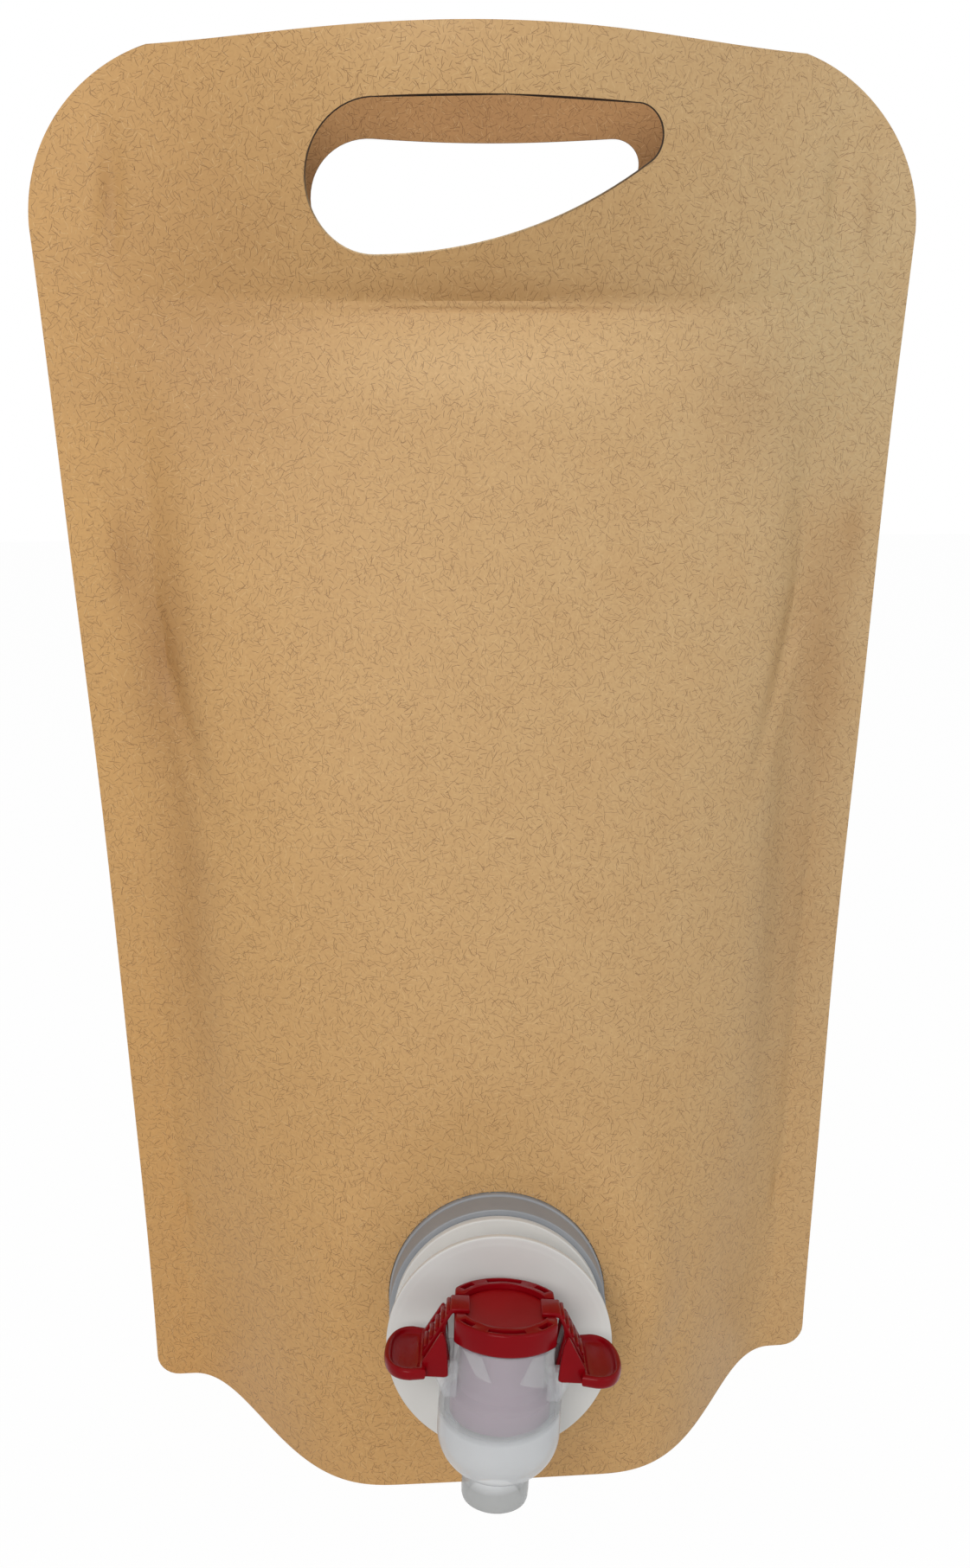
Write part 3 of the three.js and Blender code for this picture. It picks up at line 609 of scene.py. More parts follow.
def pressedLines(x, z, phase):
    side = np.abs(x)
    edge = halfWidth(z) - bag["sideSeal"]
    relief = -creases["sealLineDepth"] * mound(z, creases["sealLine"], creases["creaseWidth"])
    relief -= creases["sealCreaseDepth"] * mound(z, creases["sealCrease"], creases["creaseWidth"])
    relief *= 1 - eased(side, *creases["lineFade"])
    lean = creases["lean"] * np.sin(z / creases["leanStep"] + phase)
    dimple = mound(side, creases["dimpleX"] + lean, creases["dimpleWide"])
    dimple = dimple * mound(z, creases["dimpleHeight"], creases["dimpleHigh"])
    corner = mound(side, creases["cornerX"] + 2 * lean, creases["cornerWide"])
    corner = corner * mound(z, creases["cornerHeight"], creases["cornerHigh"])
    kinkHeight = creases["kinkHeight"] + creases["kinkStep"] * phase * np.sign(x)
    kinkLine = kinkHeight + creases["kinkTilt"] * (side - edge)
    kink = mound(side, edge - creases["kinkInset"], creases["kinkWide"])
    kink = kink * mound(z, kinkLine, creases["kinkHigh"])
    below = np.clip(kinkHeight - z, 0, None)
    foldPath = edge - creases["foldInset"] - creases["foldLean"] * below
    fold = mound(side, foldPath, creases["foldWide"]) * eased(below, 0, creases["foldStart"])
    fold = fold * (1 - eased(below, *creases["foldFade"]))
    relief -= creases["dimpleDepth"] * dimple + creases["cornerDepth"] * corner
    return relief - creases["kinkDepth"] * kink - creases["foldDepth"] * fold


def sealSway(x, z):
    reach = creases["swayReach"]
    edge = np.clip((np.abs(x) - halfWidth(z) + reach) / reach, 0, 1) ** 2
    wave = np.sin(z / creases["swayStep"] + creases["swayPhase"] + creases["swaySide"] * np.sign(x))
    return creases["sway"] * edge * wave


def sheetThickness(x, z):
    edge = halfWidth(z) - bag["sideSeal"]
    sealed = eased(np.abs(x), edge - bag["sealFadeIn"], edge + bag["sealFadeOut"])
    bandEnd = bag["sealHeight"] + bag["sealBand"]
    band = eased(z, bag["sealHeight"] - 1, bag["sealHeight"]) * (1 - eased(z, bandEnd, bandEnd + 1))
    thickest = bag["film"] - bag["sheetGap"]
    return bag["sheet"] + (thickest - bag["sheet"]) * np.maximum(sealed, band)


# Rows and columns of the panels, closer at the side seals and round the two pressed lines
grid = {
    "columns": 151, "rows": 186, "lowRows": 8, "highRows": 34, "bunching": 0.42,
    "nearRows": 9, "nearReach": 2,
}


def panelGrid():
    top = bag["height"] - bag["cornerDrop"]
    lowArc = bag["baseCorner"] * (1 - np.cos(np.linspace(0, np.pi / 2, grid["lowRows"])))
    plain = np.linspace(bag["baseCorner"], top, grid["rows"])[1:]
    end = math.asin(bag["cornerDrop"] / bag["cornerRadius"])
    highArc = top + bag["cornerRadius"] * np.sin(np.linspace(0, end, grid["highRows"]))[1:]
    near = creases["creaseWidth"] * np.linspace(-grid["nearReach"], grid["nearReach"], grid["nearRows"])
    heights = np.unique(np.concatenate((
        lowArc, plain, highArc, creases["sealLine"] + near, creases["sealCrease"] + near,
    )))
    shares = np.sin(np.linspace(-1, 1, grid["columns"]) * grid["bunching"] * np.pi)
    shares = shares / math.sin(grid["bunching"] * np.pi)
    z = np.repeat(heights[:, None], grid["columns"], axis=1)
    return shares[None, :] * outlineReach(z), z


hole = {
    "top": 303.6, "bigRadius": 14.0, "bigX": -23.0, "smallRadius": 5.7, "smallX": 31.0, "slope": 36.0,
    "lowerSteps": 20, "edgeRadius": 0.2, "edgeSides": 8, "cutReach": 45,
}


def holeOutline():
    bigCentre = (hole["bigX"], hole["top"] - hole["bigRadius"])
    smallCentre = (hole["smallX"], hole["top"] - hole["smallRadius"])
    left = arc(bigCentre, hole["bigRadius"], 90, 270, 28)
    right = arc(smallCentre, hole["smallRadius"], hole["slope"] - 90, 90, 18)
    bottom = hole["top"] - 2 * hole["bigRadius"]
    run = (right[0][1] - bottom) / math.tan(math.radians(hole["slope"]))
    start = Vector((hole["bigX"], bottom))
    bend = Vector((right[0][0] - run, bottom))
    end = Vector(right[0])
    lower = []
    for k in range(1, hole["lowerSteps"]):
        t = k / hole["lowerSteps"]
        lower.append(tuple(start * (1 - t) ** 2 + bend * 2 * t * (1 - t) + end * t ** 2))
    return left + lower + right


print("pouch")


def frontSurface(x, z):
    away = np.hypot(x, z - glandSize["height"])
    ring = creases["weldRing"] * mound(away, glandSize["foot"] + glandSize["weld"], creases["weldWidth"])
    soft = softRelief(x, z, ripples["frontPhase"])
    front = frontDepth(x, z) + soft + pressedLines(x, z, ripples["frontLines"]) + ring
    return np.maximum(front, sheetThickness(x, z))


# A thin bead that follows the outline of the front panel's cut: a dark line of painted shade along the edge,
# with a painted highlight along the bottom of the hole
def buildHoleEdge():
    outline = np.array(holeOutline())
    steps = np.roll(outline, -1, 0) - outline
    points = np.concatenate((outline, outline + steps * 0.5), 1).reshape(-1, 2)
    ahead = np.roll(points, -1, 0) - np.roll(points, 1, 0)
    ahead /= np.hypot(ahead[:, 0], ahead[:, 1])[:, None]
    x, z = points[:, 0], points[:, 1]
    middle = sealSway(x, z) - frontSurface(x, z) + bag["sheet"] / 2
    radius = hole["edgeRadius"]
    sides = hole["edgeSides"]
    loops = []
    for angle in np.linspace(0, 2 * np.pi, sides + 1)[:-1]:
        out = radius * np.cos(angle)
        away = radius * np.sin(angle)
        loops.append(np.stack((x - ahead[:, 1] * out, middle + away, z + ahead[:, 0] * out), 1))
    count = len(points)
    faces = []
    for k in range(sides):
        n = (k + 1) % sides
        for i in range(count):
            j = (i + 1) % count
            faces.append((k * count + i, k * count + j, n * count + j, n * count + i))
    rim = [tuple(p) for p in np.concatenate(loops)]
    edge = formed("holeEdge", [(rim, faces, 0)], [holeEdgeShade])
    settled(edge, bagPlace, 60)
    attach(edge, "pouch")


gusset = {
    "halfWidth": 80, "columns": 91, "rows": 41, "inset": 0.35, "least": 0.05, "clear": 0.1,
    "roundAlong": 6, "roundAcross": 12, "foldHeight": 0.5, "foldWide": 0.02,
}
glandCut = {"radius": 24.75, "front": 12, "back": 34}


def buildGusset():
    across, along = np.meshgrid(
        np.linspace(-1, 1, gusset["columns"]), np.linspace(-1, 1, gusset["rows"])
    )
    x = across * gusset["halfWidth"]
    reach = np.maximum(panelDepth(x, 0 * x) - gusset["inset"], gusset["least"])
    rounding = 1 - np.abs(along) ** gusset["roundAlong"]
    z = gusset["clear"] + bag["gussetRise"] * rounding * (1 - np.abs(across) ** gusset["roundAcross"])
    z += gusset["foldHeight"] * mound(along, 0, gusset["foldWide"]) * (1 - across ** 2)
    lower = np.dstack((x, along * reach, z))
    upper = np.dstack((x, along * reach, z + bag["sheet"]))
    return sheetPiece("baseGusset", lower, upper, [kraftBase, kraftLining, kraftEdge])


def buildPouch():
    x, z = panelGrid()
    skins = [kraft, kraftLining, kraftEdge]
    sway = sealSway(x, z)
    thick = sheetThickness(x, z)
    front = frontSurface(x, z)
    back = panelDepth(x, z) + softRelief(x, z, ripples["backPhase"])
    back = np.maximum(back + pressedLines(x, z, ripples["backLines"]), thick)
    frontSheet = sheetPiece(
        "frontPanel", np.dstack((x, sway - front, z)), np.dstack((x, sway - front + thick, z)), skins
    )
    backSheet = sheetPiece(
        "backPanel", np.dstack((x, sway + back, z)), np.dstack((x, sway + back - thick, z)), skins
    )
    body = extruded(holeOutline(), -hole["cutReach"], hole["cutReach"], "y")
    # The cutters give the hole's cut faces that dark tone, painted shade
    holes = [solid("holeCutter", body, holeCutShade) for _ in range(2)]
    opening = disc(glandCut["radius"], glandCut["front"], glandCut["back"], 128, "y")
    glandCutter = solid("glandCutter", opening, kraftEdge)
    glandCutter.data.transform(bagPlace.inverted() @ tapPlace)
    cutBy(frontSheet, [holes[0], glandCutter])
    cutBy(backSheet, [holes[1]])
    for sheet in (frontSheet, backSheet, buildGusset()):
        settled(sheet, bagPlace, 38)
        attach(sheet, "pouch")
        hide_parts("pouch")


buildPouch()
buildHoleEdge()


# Paper fibres that stand out of the cut edge round the gland

fibreForm = {
    "ringSteps": 96, "sides": 5, "tip": 0.02, "root": 0.07, "leastTurn": (1.35, 0.0, 0.0),
    "mostTurn": (1.8, 0.0, 6.28), "shortest": 0.4, "longest": 1.2,
}


def startedTree(name, sockets):
    tree = bpy.data.node_groups.new(name, "GeometryNodeTree")
    tree.interface.new_socket("Geometry", in_out="INPUT", socket_type="NodeSocketGeometry")
    for socketName, kind in sockets.items():
        tree.interface.new_socket(socketName, in_out="INPUT", socket_type="NodeSocket" + kind)
    tree.interface.new_socket("Geometry", in_out="OUTPUT", socket_type="NodeSocketGeometry")
    return tree, tree.nodes.new("NodeGroupInput").outputs


def finishedTree(tree, placed, material):
    real = addNode(tree, "GeometryNodeRealizeInstances", {0: placed.outputs[0]})
    coated = addNode(tree, "GeometryNodeSetMaterial", {0: real.outputs[0], "Material": material})
    addNode(tree, "NodeGroupOutput", {0: coated.outputs[0]})
    return tree


def fibreTree(material):
    tree, entry = startedTree("cutFibres", {
        "Radius": "Float", "Count": "Int", "Length": "Float", "Seed": "Int",
    })
    ring = addNode(tree, "GeometryNodeCurvePrimitiveCircle", {
        "Resolution": fibreForm["ringSteps"], "Radius": entry["Radius"],
    })
    points = addNode(tree, "GeometryNodeCurveToPoints", {0: ring.outputs[0], "Count": entry["Count"]})
    strand = addNode(tree, "GeometryNodeMeshCone", {
        "Vertices": fibreForm["sides"], "Radius Top": fibreForm["tip"],
        "Radius Bottom": fibreForm["root"], "Depth": entry["Length"],
    })
    turn = addNode(tree, "FunctionNodeRandomValue", {
        0: fibreForm["leastTurn"], 1: fibreForm["mostTurn"], "Seed": entry["Seed"],
    }, data_type="FLOAT_VECTOR")
    size = addNode(tree, "FunctionNodeRandomValue", {
        2: fibreForm["shortest"], 3: fibreForm["longest"], "Seed": entry["Seed"],
    }, data_type="FLOAT")
    placed = addNode(tree, "GeometryNodeInstanceOnPoints", {
        "Points": points.outputs["Points"], "Instance": strand.outputs["Mesh"],
        "Rotation": turn.outputs[0], "Scale": size.outputs[1],
    })
    return finishedTree(tree, placed, material)


def fromTree(name, tree, values):
    obj = shown(name, bpy.data.meshes.new(name))
    grown = obj.modifiers.new("grown", "NODES")
    grown.node_group = tree
    for item in tree.interface.items_tree:
        if item.in_out == "INPUT" and item.name in values:
            grown[item.identifier] = values[item.name]
    return baked(obj)


fraySize = {"Radius": 25.1, "Count": 420, "Length": 1.5, "Seed": 11}
fray = fromTree("glandFibres", fibreTree(kraftEdge), fraySize)
frayInset = 0.05
frayPlace = Matrix.Translation((0, glandSize["behindFlange"] - frayInset, 0))
frayPlace = frayPlace @ Matrix.Rotation(math.pi / 2, 4, "X")
settled(fray, tapPlace @ frayPlace)
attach(fray, "pouch")

print("gland")

gland = {
    "radius": 24.2, "foot": 24.62, "front": 13.6, "panel": 22.3, "bore": 16.0,
    "neckEnd": 1.5, "footStart": 1.2, "behind": 2.4, "edge": 0.35,
}


def buildGland():
    back = gland["panel"] + gland["behind"]
    profile = softened([
        (gland["bore"], gland["front"]),
        (gland["radius"], gland["front"]),
        (gland["radius"], gland["panel"] - gland["neckEnd"]),
        (gland["foot"], gland["panel"] - gland["footStart"]),
        (gland["foot"], back),
        (gland["bore"], back),
    ], gland["edge"])
    obj = solid("glandCollar", turned(profile, 144, True, along="y"), greyPlastic)
    settled(obj, tapPlace, 50)
    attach(obj, "pouch")
    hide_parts("gland")


buildGland()

print("tap body")

tap = {
    "forward": chamberForward, "flange": 24.1, "flangeThick": 1.6, "neck": 19.5, "rearRim": 23.1,
    "rearStart": 11.1, "rearEnd": 13.3, "hub": 9.5, "hubBore": 7.5, "hubFront": -6.0, "hubBack": 0.4,
    "face": 12.0, "faceSink": 0.8, "rimStep": 22.2, "rimRun": 0.6, "rimDrop": 0.05, "edgeDrop": 0.07,
    "spigot": 15.7, "spigotBore": 14.0, "spigotEnd": 26.0, "web": 3.2, "edge": 0.4, "hubEdge": 0.15,
    "chamber": 12.5, "upper": 11.9, "flatHalf": 10.0, "flatStart": 0.8, "flatFull": 3.4, "top": 11.2,
    "seam": 0.07, "seamHalf": 1.5, "seamLow": -6, "domeHeight": -9.5, "domeRadius": 9.5,
    "domeEnd": -68, "innerDomeEnd": -70, "hubPlace": (0, 0, -1),
    "nozzleEnd": -24.6, "wall": 1.2, "bore": 9.0, "pivotX": 13.0, "pivotHeight": 6.2,
    "armHalf": 3.1, "gap": 0.3,
}
chamberCentre = (0, -tap["forward"], 0)


def onTap(obj, node=None, body="tap"):
    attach(obj, body)
    if node:
        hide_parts(node)
    return obj


def buildFlange():
    rim = tap["rimStep"]
    profile = softened([
        (tap["hubBore"], tap["faceSink"]), (tap["face"], 0.0), (rim, 0.0),
        (rim + tap["rimRun"], tap["rimDrop"]), (tap["flange"], tap["edgeDrop"]),
        (tap["flange"], tap["flangeThick"]), (tap["neck"], tap["flangeThick"]),
        (tap["neck"], tap["rearStart"]), (tap["rearRim"], tap["rearStart"]),
        (tap["rearRim"], tap["rearEnd"]), (tap["spigot"], tap["rearEnd"]),
        (tap["spigot"], tap["spigotEnd"]), (tap["spigotBore"], tap["spigotEnd"]),
        (tap["spigotBore"], tap["web"]), (tap["hubBore"], tap["web"]),
    ], tap["edge"])
    hub = softened([
        (tap["hubBore"], tap["hubFront"]), (tap["hub"], tap["hubFront"]),
        (tap["hub"], tap["hubBack"]), (tap["hubBore"], tap["hubBack"]),
    ], tap["hubEdge"])
    shells = [
        (*turned(profile, 160, True, along="y"), 0),
        (*turned(hub, 72, True, along="y", centre=tap["hubPlace"]), 0),
    ]
    obj = formed("tapDisc", shells, [discPlastic])
    settled(obj, tapPlace, 40)
    onTap(obj, "tap_body")


# Radius of the chamber's wall: flat at both sides higher up, with a fine mould seam in front
def flatSides(radius, angle, height):
    across = max(abs(math.cos(angle)), 0.001)
    flat = min(radius, tap["flatHalf"] / across) if radius > tap["flatHalf"] else radius
    share = float(eased(np.array(height), tap["flatStart"], tap["flatFull"]))
    facing = math.degrees(math.atan2(math.sin(angle), math.cos(angle)))
    onSeam = abs(facing + 90) < tap["seamHalf"] and radius > tap["bore"] and height > tap["seamLow"]
    return radius + (flat - radius) * share + (tap["seam"] if onSeam else 0)


def buildChamber():
    centre = (tap["chamber"] - tap["domeRadius"], tap["domeHeight"])
    outerDome = arc(centre, tap["domeRadius"], tap["domeEnd"], 0, 18)
    innerDome = arc(centre, tap["domeRadius"] - tap["wall"], 0, tap["innerDomeEnd"], 14)
    end = tap["nozzleEnd"]
    lip = [
        (5.3, end + 0.2), (5.6, end), (6.2, end + 0.05), (6.6, end + 0.35), (6.78, end + 0.9),
        (6.86, end + 2.4), (6.86, end + 4.2), (6.72, end + 5.0), (6.5, end + 5.7),
    ]
    sides = [(tap["chamber"], h) for h in (-6.0, -3.0, -1.0, 0.4, 0.9)]
    shoulder = [(12.46, 1.4), (12.36, 1.9), (12.2, 2.4), (12.02, 2.9), (tap["upper"], 3.4)]
    upper = [(tap["upper"], h) for h in (5.0, 8.0, 10.9)] + [(tap["upper"] - 0.2, tap["top"])]
    inner = [(tap["bore"] + 0.2, tap["top"]), (tap["bore"], 10.8), (tap["bore"], 1.8), (11.3, -0.2)]
    throat = [(5.4, -18.6), (5.3, -21.0)]
    profile = lip + outerDome + sides + shoulder + upper + inner + innerDome + throat
    shape = turned(profile, 128, True, flatSides, centre=chamberCentre)
    obj = solid("tapChamber", shape, clearPlastic)
    settled(obj, tapPlace, 30)
    onTap(obj, "tap_body")


# Two slanted snap facets in the wall under the cap
facet = {
    "corners": [
        [(-8.3, 11.0), (-4.7, 11.0), (-2.4, 6.0), (-5.6, 6.8)],
        [(5.3, 11.0), (3.0, 6.0), (8.4, 3.9), (10.0, 11.0)],
    ],
    "steps": 8, "proud": 0.16, "sunk": 0.1, "bevel": (0.06, 2, 50),
}


def buildFacets():
    shells = []
    steps = facet["steps"]
    for corners in facet["corners"]:
        rows = []
        for i in range(steps + 1):
            left = Vector(corners[0]).lerp(Vector(corners[3]), i / steps)
            right = Vector(corners[1]).lerp(Vector(corners[2]), i / steps)
            rows.append([tuple(left.lerp(right, k / steps)) for k in range(steps + 1)])
        face = np.array(rows)
        x, z = face[..., 0], face[..., 1]
        base = -tap["forward"] - np.sqrt(tap["upper"] ** 2 - x ** 2)
        front = np.dstack((x, base - facet["proud"], z))
        points, skin, lining, rim = sheetBetween(front, np.dstack((x, base + facet["sunk"], z)))
        shells.append((points, skin + lining + rim, 0))
    obj = formed("snapFacets", shells, [facetPlastic])
    rounded(obj, *facet["bevel"])
    settled(obj, tapPlace, angle=40)
    onTap(obj)


lug = {
    "radius": 1.4, "thick": 1.4, "inset": 1, "foot": -1, "knee": 5.0, "pinRadius": 0.9,
    "bevel": (0.22, 3, 50),
}


def buildLugs():
    shells = []
    low = tap["armHalf"] + 2 * tap["gap"]
    end = low + lug["thick"]
    x, z = tap["pivotX"], tap["pivotHeight"]
    plate = [
        (tap["flatHalf"] - lug["inset"], lug["foot"]), (tap["chamber"] - lug["inset"], lug["foot"]),
        (x + lug["radius"], lug["knee"]), *arc((x, z), lug["radius"], 0, 180, 14),
        (tap["flatHalf"] - lug["inset"], z),
    ]
    for side in (-1, 1):
        outline = [(side * across, up) for across, up in plate]
        for start in (-low - lug["thick"], low):
            shells.append((*extruded(outline, start, start + lug["thick"], "y", chamberCentre), 0))
        pin = disc(lug["pinRadius"], -end, end, 24, "y", (side * x, -tap["forward"], z))
        shells.append((*pin, 0))
    obj = formed("pivotLugs", shells, [clearPlastic])
    rounded(obj, *lug["bevel"])
    settled(obj, tapPlace, angle=40)
    onTap(obj, "tap_body")


buildFlange()
buildChamber()
buildFacets()
buildLugs()

print("cap and button")

cap = {
    "radius": 12.35, "flatHalf": 10.2, "bottom": 11.5, "top": 16.2, "bore": 9.2, "boreStart": 10,
    "notchHalf": 4.1, "notchSill": 0.6, "notchClear": 2, "cutClear": 1, "slotInner": 10.2,
    "slotOuter": 11.5, "slotDepth": 2.0, "frontSweep": 39, "sideSweep": 17, "sideAngle": 45,
    "bevel": (0.5, 4, 30), "slotBevel": (0.1, 2, 50),
}


def flatSidedOutline(radius, half):
    angle = math.degrees(math.acos(half / radius))
    back = arc((0, 0), radius, angle, 180 - angle, 40)
    return back + arc((0, 0), radius, 180 + angle, 360 - angle, 40)


def slotOutline(facing, sweep):
    start = facing - sweep / 2
    outer = arc((0, 0), cap["slotOuter"], start, start + sweep, 14)
    return outer + arc((0, 0), cap["slotInner"], start + sweep, start, 14)


def buildCap():
    outline = flatSidedOutline(cap["radius"], cap["flatHalf"])
    ring = extruded(outline, cap["bottom"], cap["top"], centre=chamberCentre)
    obj = solid("capRing", ring, redPlastic)
    rounded(obj, *cap["bevel"])
    high = cap["top"] + cap["cutClear"]
    bore = disc(cap["bore"], cap["boreStart"], high, 96, centre=chamberCentre)
    reach = cap["flatHalf"] + cap["notchClear"]
    half = cap["notchHalf"]
    notch = [(-reach, -half), (reach, -half), (reach, half), (-reach, half)]
    notch = extruded(notch, cap["bottom"] + cap["notchSill"], high, centre=chamberCentre)
    cutters = [solid("boreCutter", bore, redPlastic), solid("notchCutter", notch, redPlastic)]
    for facing in (-90, 90):
        outlines = [slotOutline(facing, cap["frontSweep"])]
        for turn in (-cap["sideAngle"], cap["sideAngle"]):
            outlines.append(slotOutline(facing + turn, cap["sideSweep"]))
        for outline in outlines:
            slot = extruded(outline, cap["top"] - cap["slotDepth"], high, centre=chamberCentre)
            cutters.append(solid("slotCutter", slot, redPlastic))
    cutBy(obj, cutters)
    rounded(obj, *cap["slotBevel"])
    settled(obj, tapPlace, angle=35)
    onTap(obj, "cap_ring")


button = {
    "radius": 8.9, "low": 13.9, "top": 15.2, "rim": 0.7, "dishReach": 8.2, "dishDepth": 0.65,
    "dishSteps": 14, "gateInner": 0.55, "gateOuter": 0.9, "gateLow": 14.5, "gateTop": 14.68,
    "gateEdge": 0.06, "gateForward": 4.2,
}


def buildButton():
    radius, low, top = button["radius"], button["low"], button["top"]
    steps = button["dishSteps"]
    profile = [
        (0, low), (radius - 0.1, low), (radius, 14.0), (radius, top - 0.2),
        (radius - 0.08, top - 0.05), (radius - 0.25, top), (radius - 0.5, top),
    ]
    for k in range(steps + 1):
        reach = radius - button["rim"] - button["dishReach"] * k / steps
        profile.append((max(reach, 0), top - button["dishDepth"] * (1 - (1 - k / steps) ** 2)))
    shells = [(*turned(profile, 96, centre=chamberCentre), 0)]
    gate = softened([
        (button["gateInner"], button["gateLow"]), (button["gateOuter"], button["gateLow"]),
        (button["gateOuter"], button["gateTop"]), (button["gateInner"], button["gateTop"]),
    ], button["gateEdge"])
    centre = (0, -tap["forward"] - button["gateForward"], 0)
    shells.append((*turned(gate, 32, True, centre=centre), 0))
    obj = formed("pressDish", shells, [dishPlastic])
    settled(obj, tapPlace, angle=30)
    onTap(obj, "press_button", "button")


# The sleeve that shows through the milky wall; the window at its back lets the liquid in
plunger = {
    "profile": [
        (0, -9.6), (2.5, -9.6), (2.5, 8.3), (7.7, 8.3), (7.7, -0.6), (9.4, -2.2), (9.4, -5.8),
        (10.2, -5.8), (10.2, -2.0), (8.7, -0.4), (8.7, 9.3), (2.5, 9.3), (2.5, 13.6), (0, 13.6),
    ],
    "window": [(-6.5, 3.5), (6.5, 3.5), (6.5, 11.5), (-6.5, 11.5)],
    "windowLow": -6.8, "windowHigh": 5.5, "bevel": (0.15, 2, 50),
}


def buildPlunger():
    shape = turned(plunger["profile"], 96, centre=chamberCentre)
    obj = solid("plungerSleeve", shape, plungerPlastic)
    low, high = plunger["windowLow"], plunger["windowHigh"]
    window = extruded(plunger["window"], low, high, centre=chamberCentre)
    cutBy(obj, [solid("windowCutter", window, plungerPlastic)])
    rounded(obj, *plunger["bevel"])
    settled(obj, tapPlace, angle=35)
    onTap(obj, "valve_stem", "button")


buildCap()
buildButton()
buildPlunger()

print("wings")

wing = {
    "tongueTip": 7.2, "tongueBottom": 15.5, "tongueTop": 16.5, "armTopX": 10.9, "footX": 16.2,
    "footHeight": 7.0, "footOut": 0.4, "footLow": 5.4, "inside": 1.7, "drop": 1.6, "taper": 0.9,
    "web": 1.2, "rootX": 15.4, "rootOut": 1.2, "reach": 23.9, "halfDepth": 9.0, "bottom": 4.0,
    "thick": 2.5, "pinRadius": 1.3, "pinReach": 9, "bevel": (0.28, 3, 28),
    "ridges": 5, "ridgeRadius": 0.5, "ridgeSides": 20, "ridgeInset": 0.5, "ridgeFirst": 0.12,
    "ridgeLast": 0.9, "ridgeBevel": (0.12, 2, 50),
    "cheekIn": 5.35, "cheekOut": 6.6, "cheekBevel": (0.35, 3, 28),
    "cheek": [
        (10.9, 4.2), (11.6, 3.9), (16.2, 3.9), (16.2, 7.0),
        (12.8, 12.9), (12.2, 13.0), (11.6, 11.2), (11.2, 8),
    ],
}


def armOutline():
    free = tap["flatHalf"] + 2 * tap["gap"]
    edge = button["radius"] + wing["inside"]
    web = tap["pivotX"] - wing["web"]
    return [
        (wing["tongueTip"], wing["tongueBottom"]), (edge, wing["tongueBottom"]),
        (edge + wing["taper"], wing["tongueBottom"] - wing["drop"]),
        (web, cap["bottom"] + cap["notchSill"] + 2 * tap["gap"]), (web, tap["top"]),
        (free, tap["pivotHeight"] - 1), (free, wing["bottom"]),
        (wing["rootX"] + wing["rootOut"], wing["bottom"]),
        (wing["footX"] + wing["footOut"], wing["footLow"]), (wing["footX"], wing["footHeight"]),
        (wing["armTopX"], wing["tongueTop"]), (wing["tongueTip"], wing["tongueTop"]),
    ]


# The tray seen from above, as shares of its half depth and pulls of its two curves in millimetres
trayForm = {
    "steps": 18, "tip": 0.1, "root": 0.5, "rootCut": 0.6,
    "frontPull": 2.6, "frontShare": 0.66, "backPull": 2.2, "backShare": 0.6,
}


def bend(a, b, c, d):
    points = []
    for k in range(1, trayForm["steps"] + 1):
        t = k / trayForm["steps"]
        weights = ((1 - t) ** 3, 3 * t * (1 - t) ** 2, 3 * t * t * (1 - t), t ** 3)
        points.append(tuple(sum(w * p[i] for w, p in zip(weights, (a, b, c, d))) for i in (0, 1)))
    return points


def trayLoop(inset):
    root = wing["rootX"] + inset
    reach = wing["reach"] - inset
    half = wing["halfDepth"] - inset
    straight = wing["rootX"] + wing["halfDepth"] / 3
    corner = wing["reach"] - wing["halfDepth"] / 2
    cut = trayForm["rootCut"]
    tip = (reach, -half * trayForm["tip"])
    front = (corner + trayForm["frontPull"], -half), (reach, -half * trayForm["frontShare"])
    back = (reach, half * trayForm["backShare"]), (corner + trayForm["backPull"], half)
    loop = [(root, -half * trayForm["root"]), (root, cut - half), (straight, -half)]
    loop += bend((straight, -half), *front, tip) + bend(tip, *back, (straight, half))
    return loop + [(root, half - cut), (root, half * trayForm["root"])]


def trayShell(side):
    low, high = wing["bottom"], wing["bottom"] + wing["thick"]
    layers = [
        (3.5, low), (0.9, low + 0.02), (0.35, low + 0.22), (0.08, low + 0.6), (0.0, low + 1.1),
        (0.0, high - 0.8), (0.08, high - 0.4), (0.32, high - 0.12), (0.7, high), (1.05, high - 0.1),
        (1.35, high - 0.45), (1.6, high - 0.85), (2.1, high - 1.08), (3.4, high - 1.2),
    ]
    points = []
    faces = []
    for inset, height in layers:
        points += [(side * x, y - tap["forward"], height) for x, y in trayLoop(inset)]
    count = len(points) // len(layers)
    for layer in range(len(layers) - 1):
        for k in range(count):
            n = (k + 1) % count
            a, b = layer * count, (layer + 1) * count
            faces.append((a + k, a + n, b + n, b + k))
    faces.append(tuple(range(count)))
    faces.append(tuple(range((len(layers) - 1) * count, len(layers) * count)))
    return points, faces


def ridgeTree(material):
    tree, entry = startedTree("armRidges", {
        "Count": "Int", "Start": "Vector", "End": "Vector", "Width": "Float", "Radius": "Float",
    })
    line = addNode(tree, "GeometryNodeMeshLine", {
        0: entry["Count"], 2: entry["Start"], 3: entry["End"],
    }, mode="END_POINTS")
    bar = addNode(tree, "GeometryNodeMeshCylinder", {
        "Vertices": wing["ridgeSides"], "Radius": entry["Radius"], "Depth": entry["Width"],
    })
    lying = addNode(tree, "GeometryNodeTransform", {
        0: bar.outputs["Mesh"], "Rotation": (math.pi / 2, 0, 0),
    })
    placed = addNode(tree, "GeometryNodeInstanceOnPoints", {
        "Points": line.outputs[0], "Instance": lying.outputs[0],
    })
    return finishedTree(tree, placed, material)


ridges = ridgeTree(redPlastic)


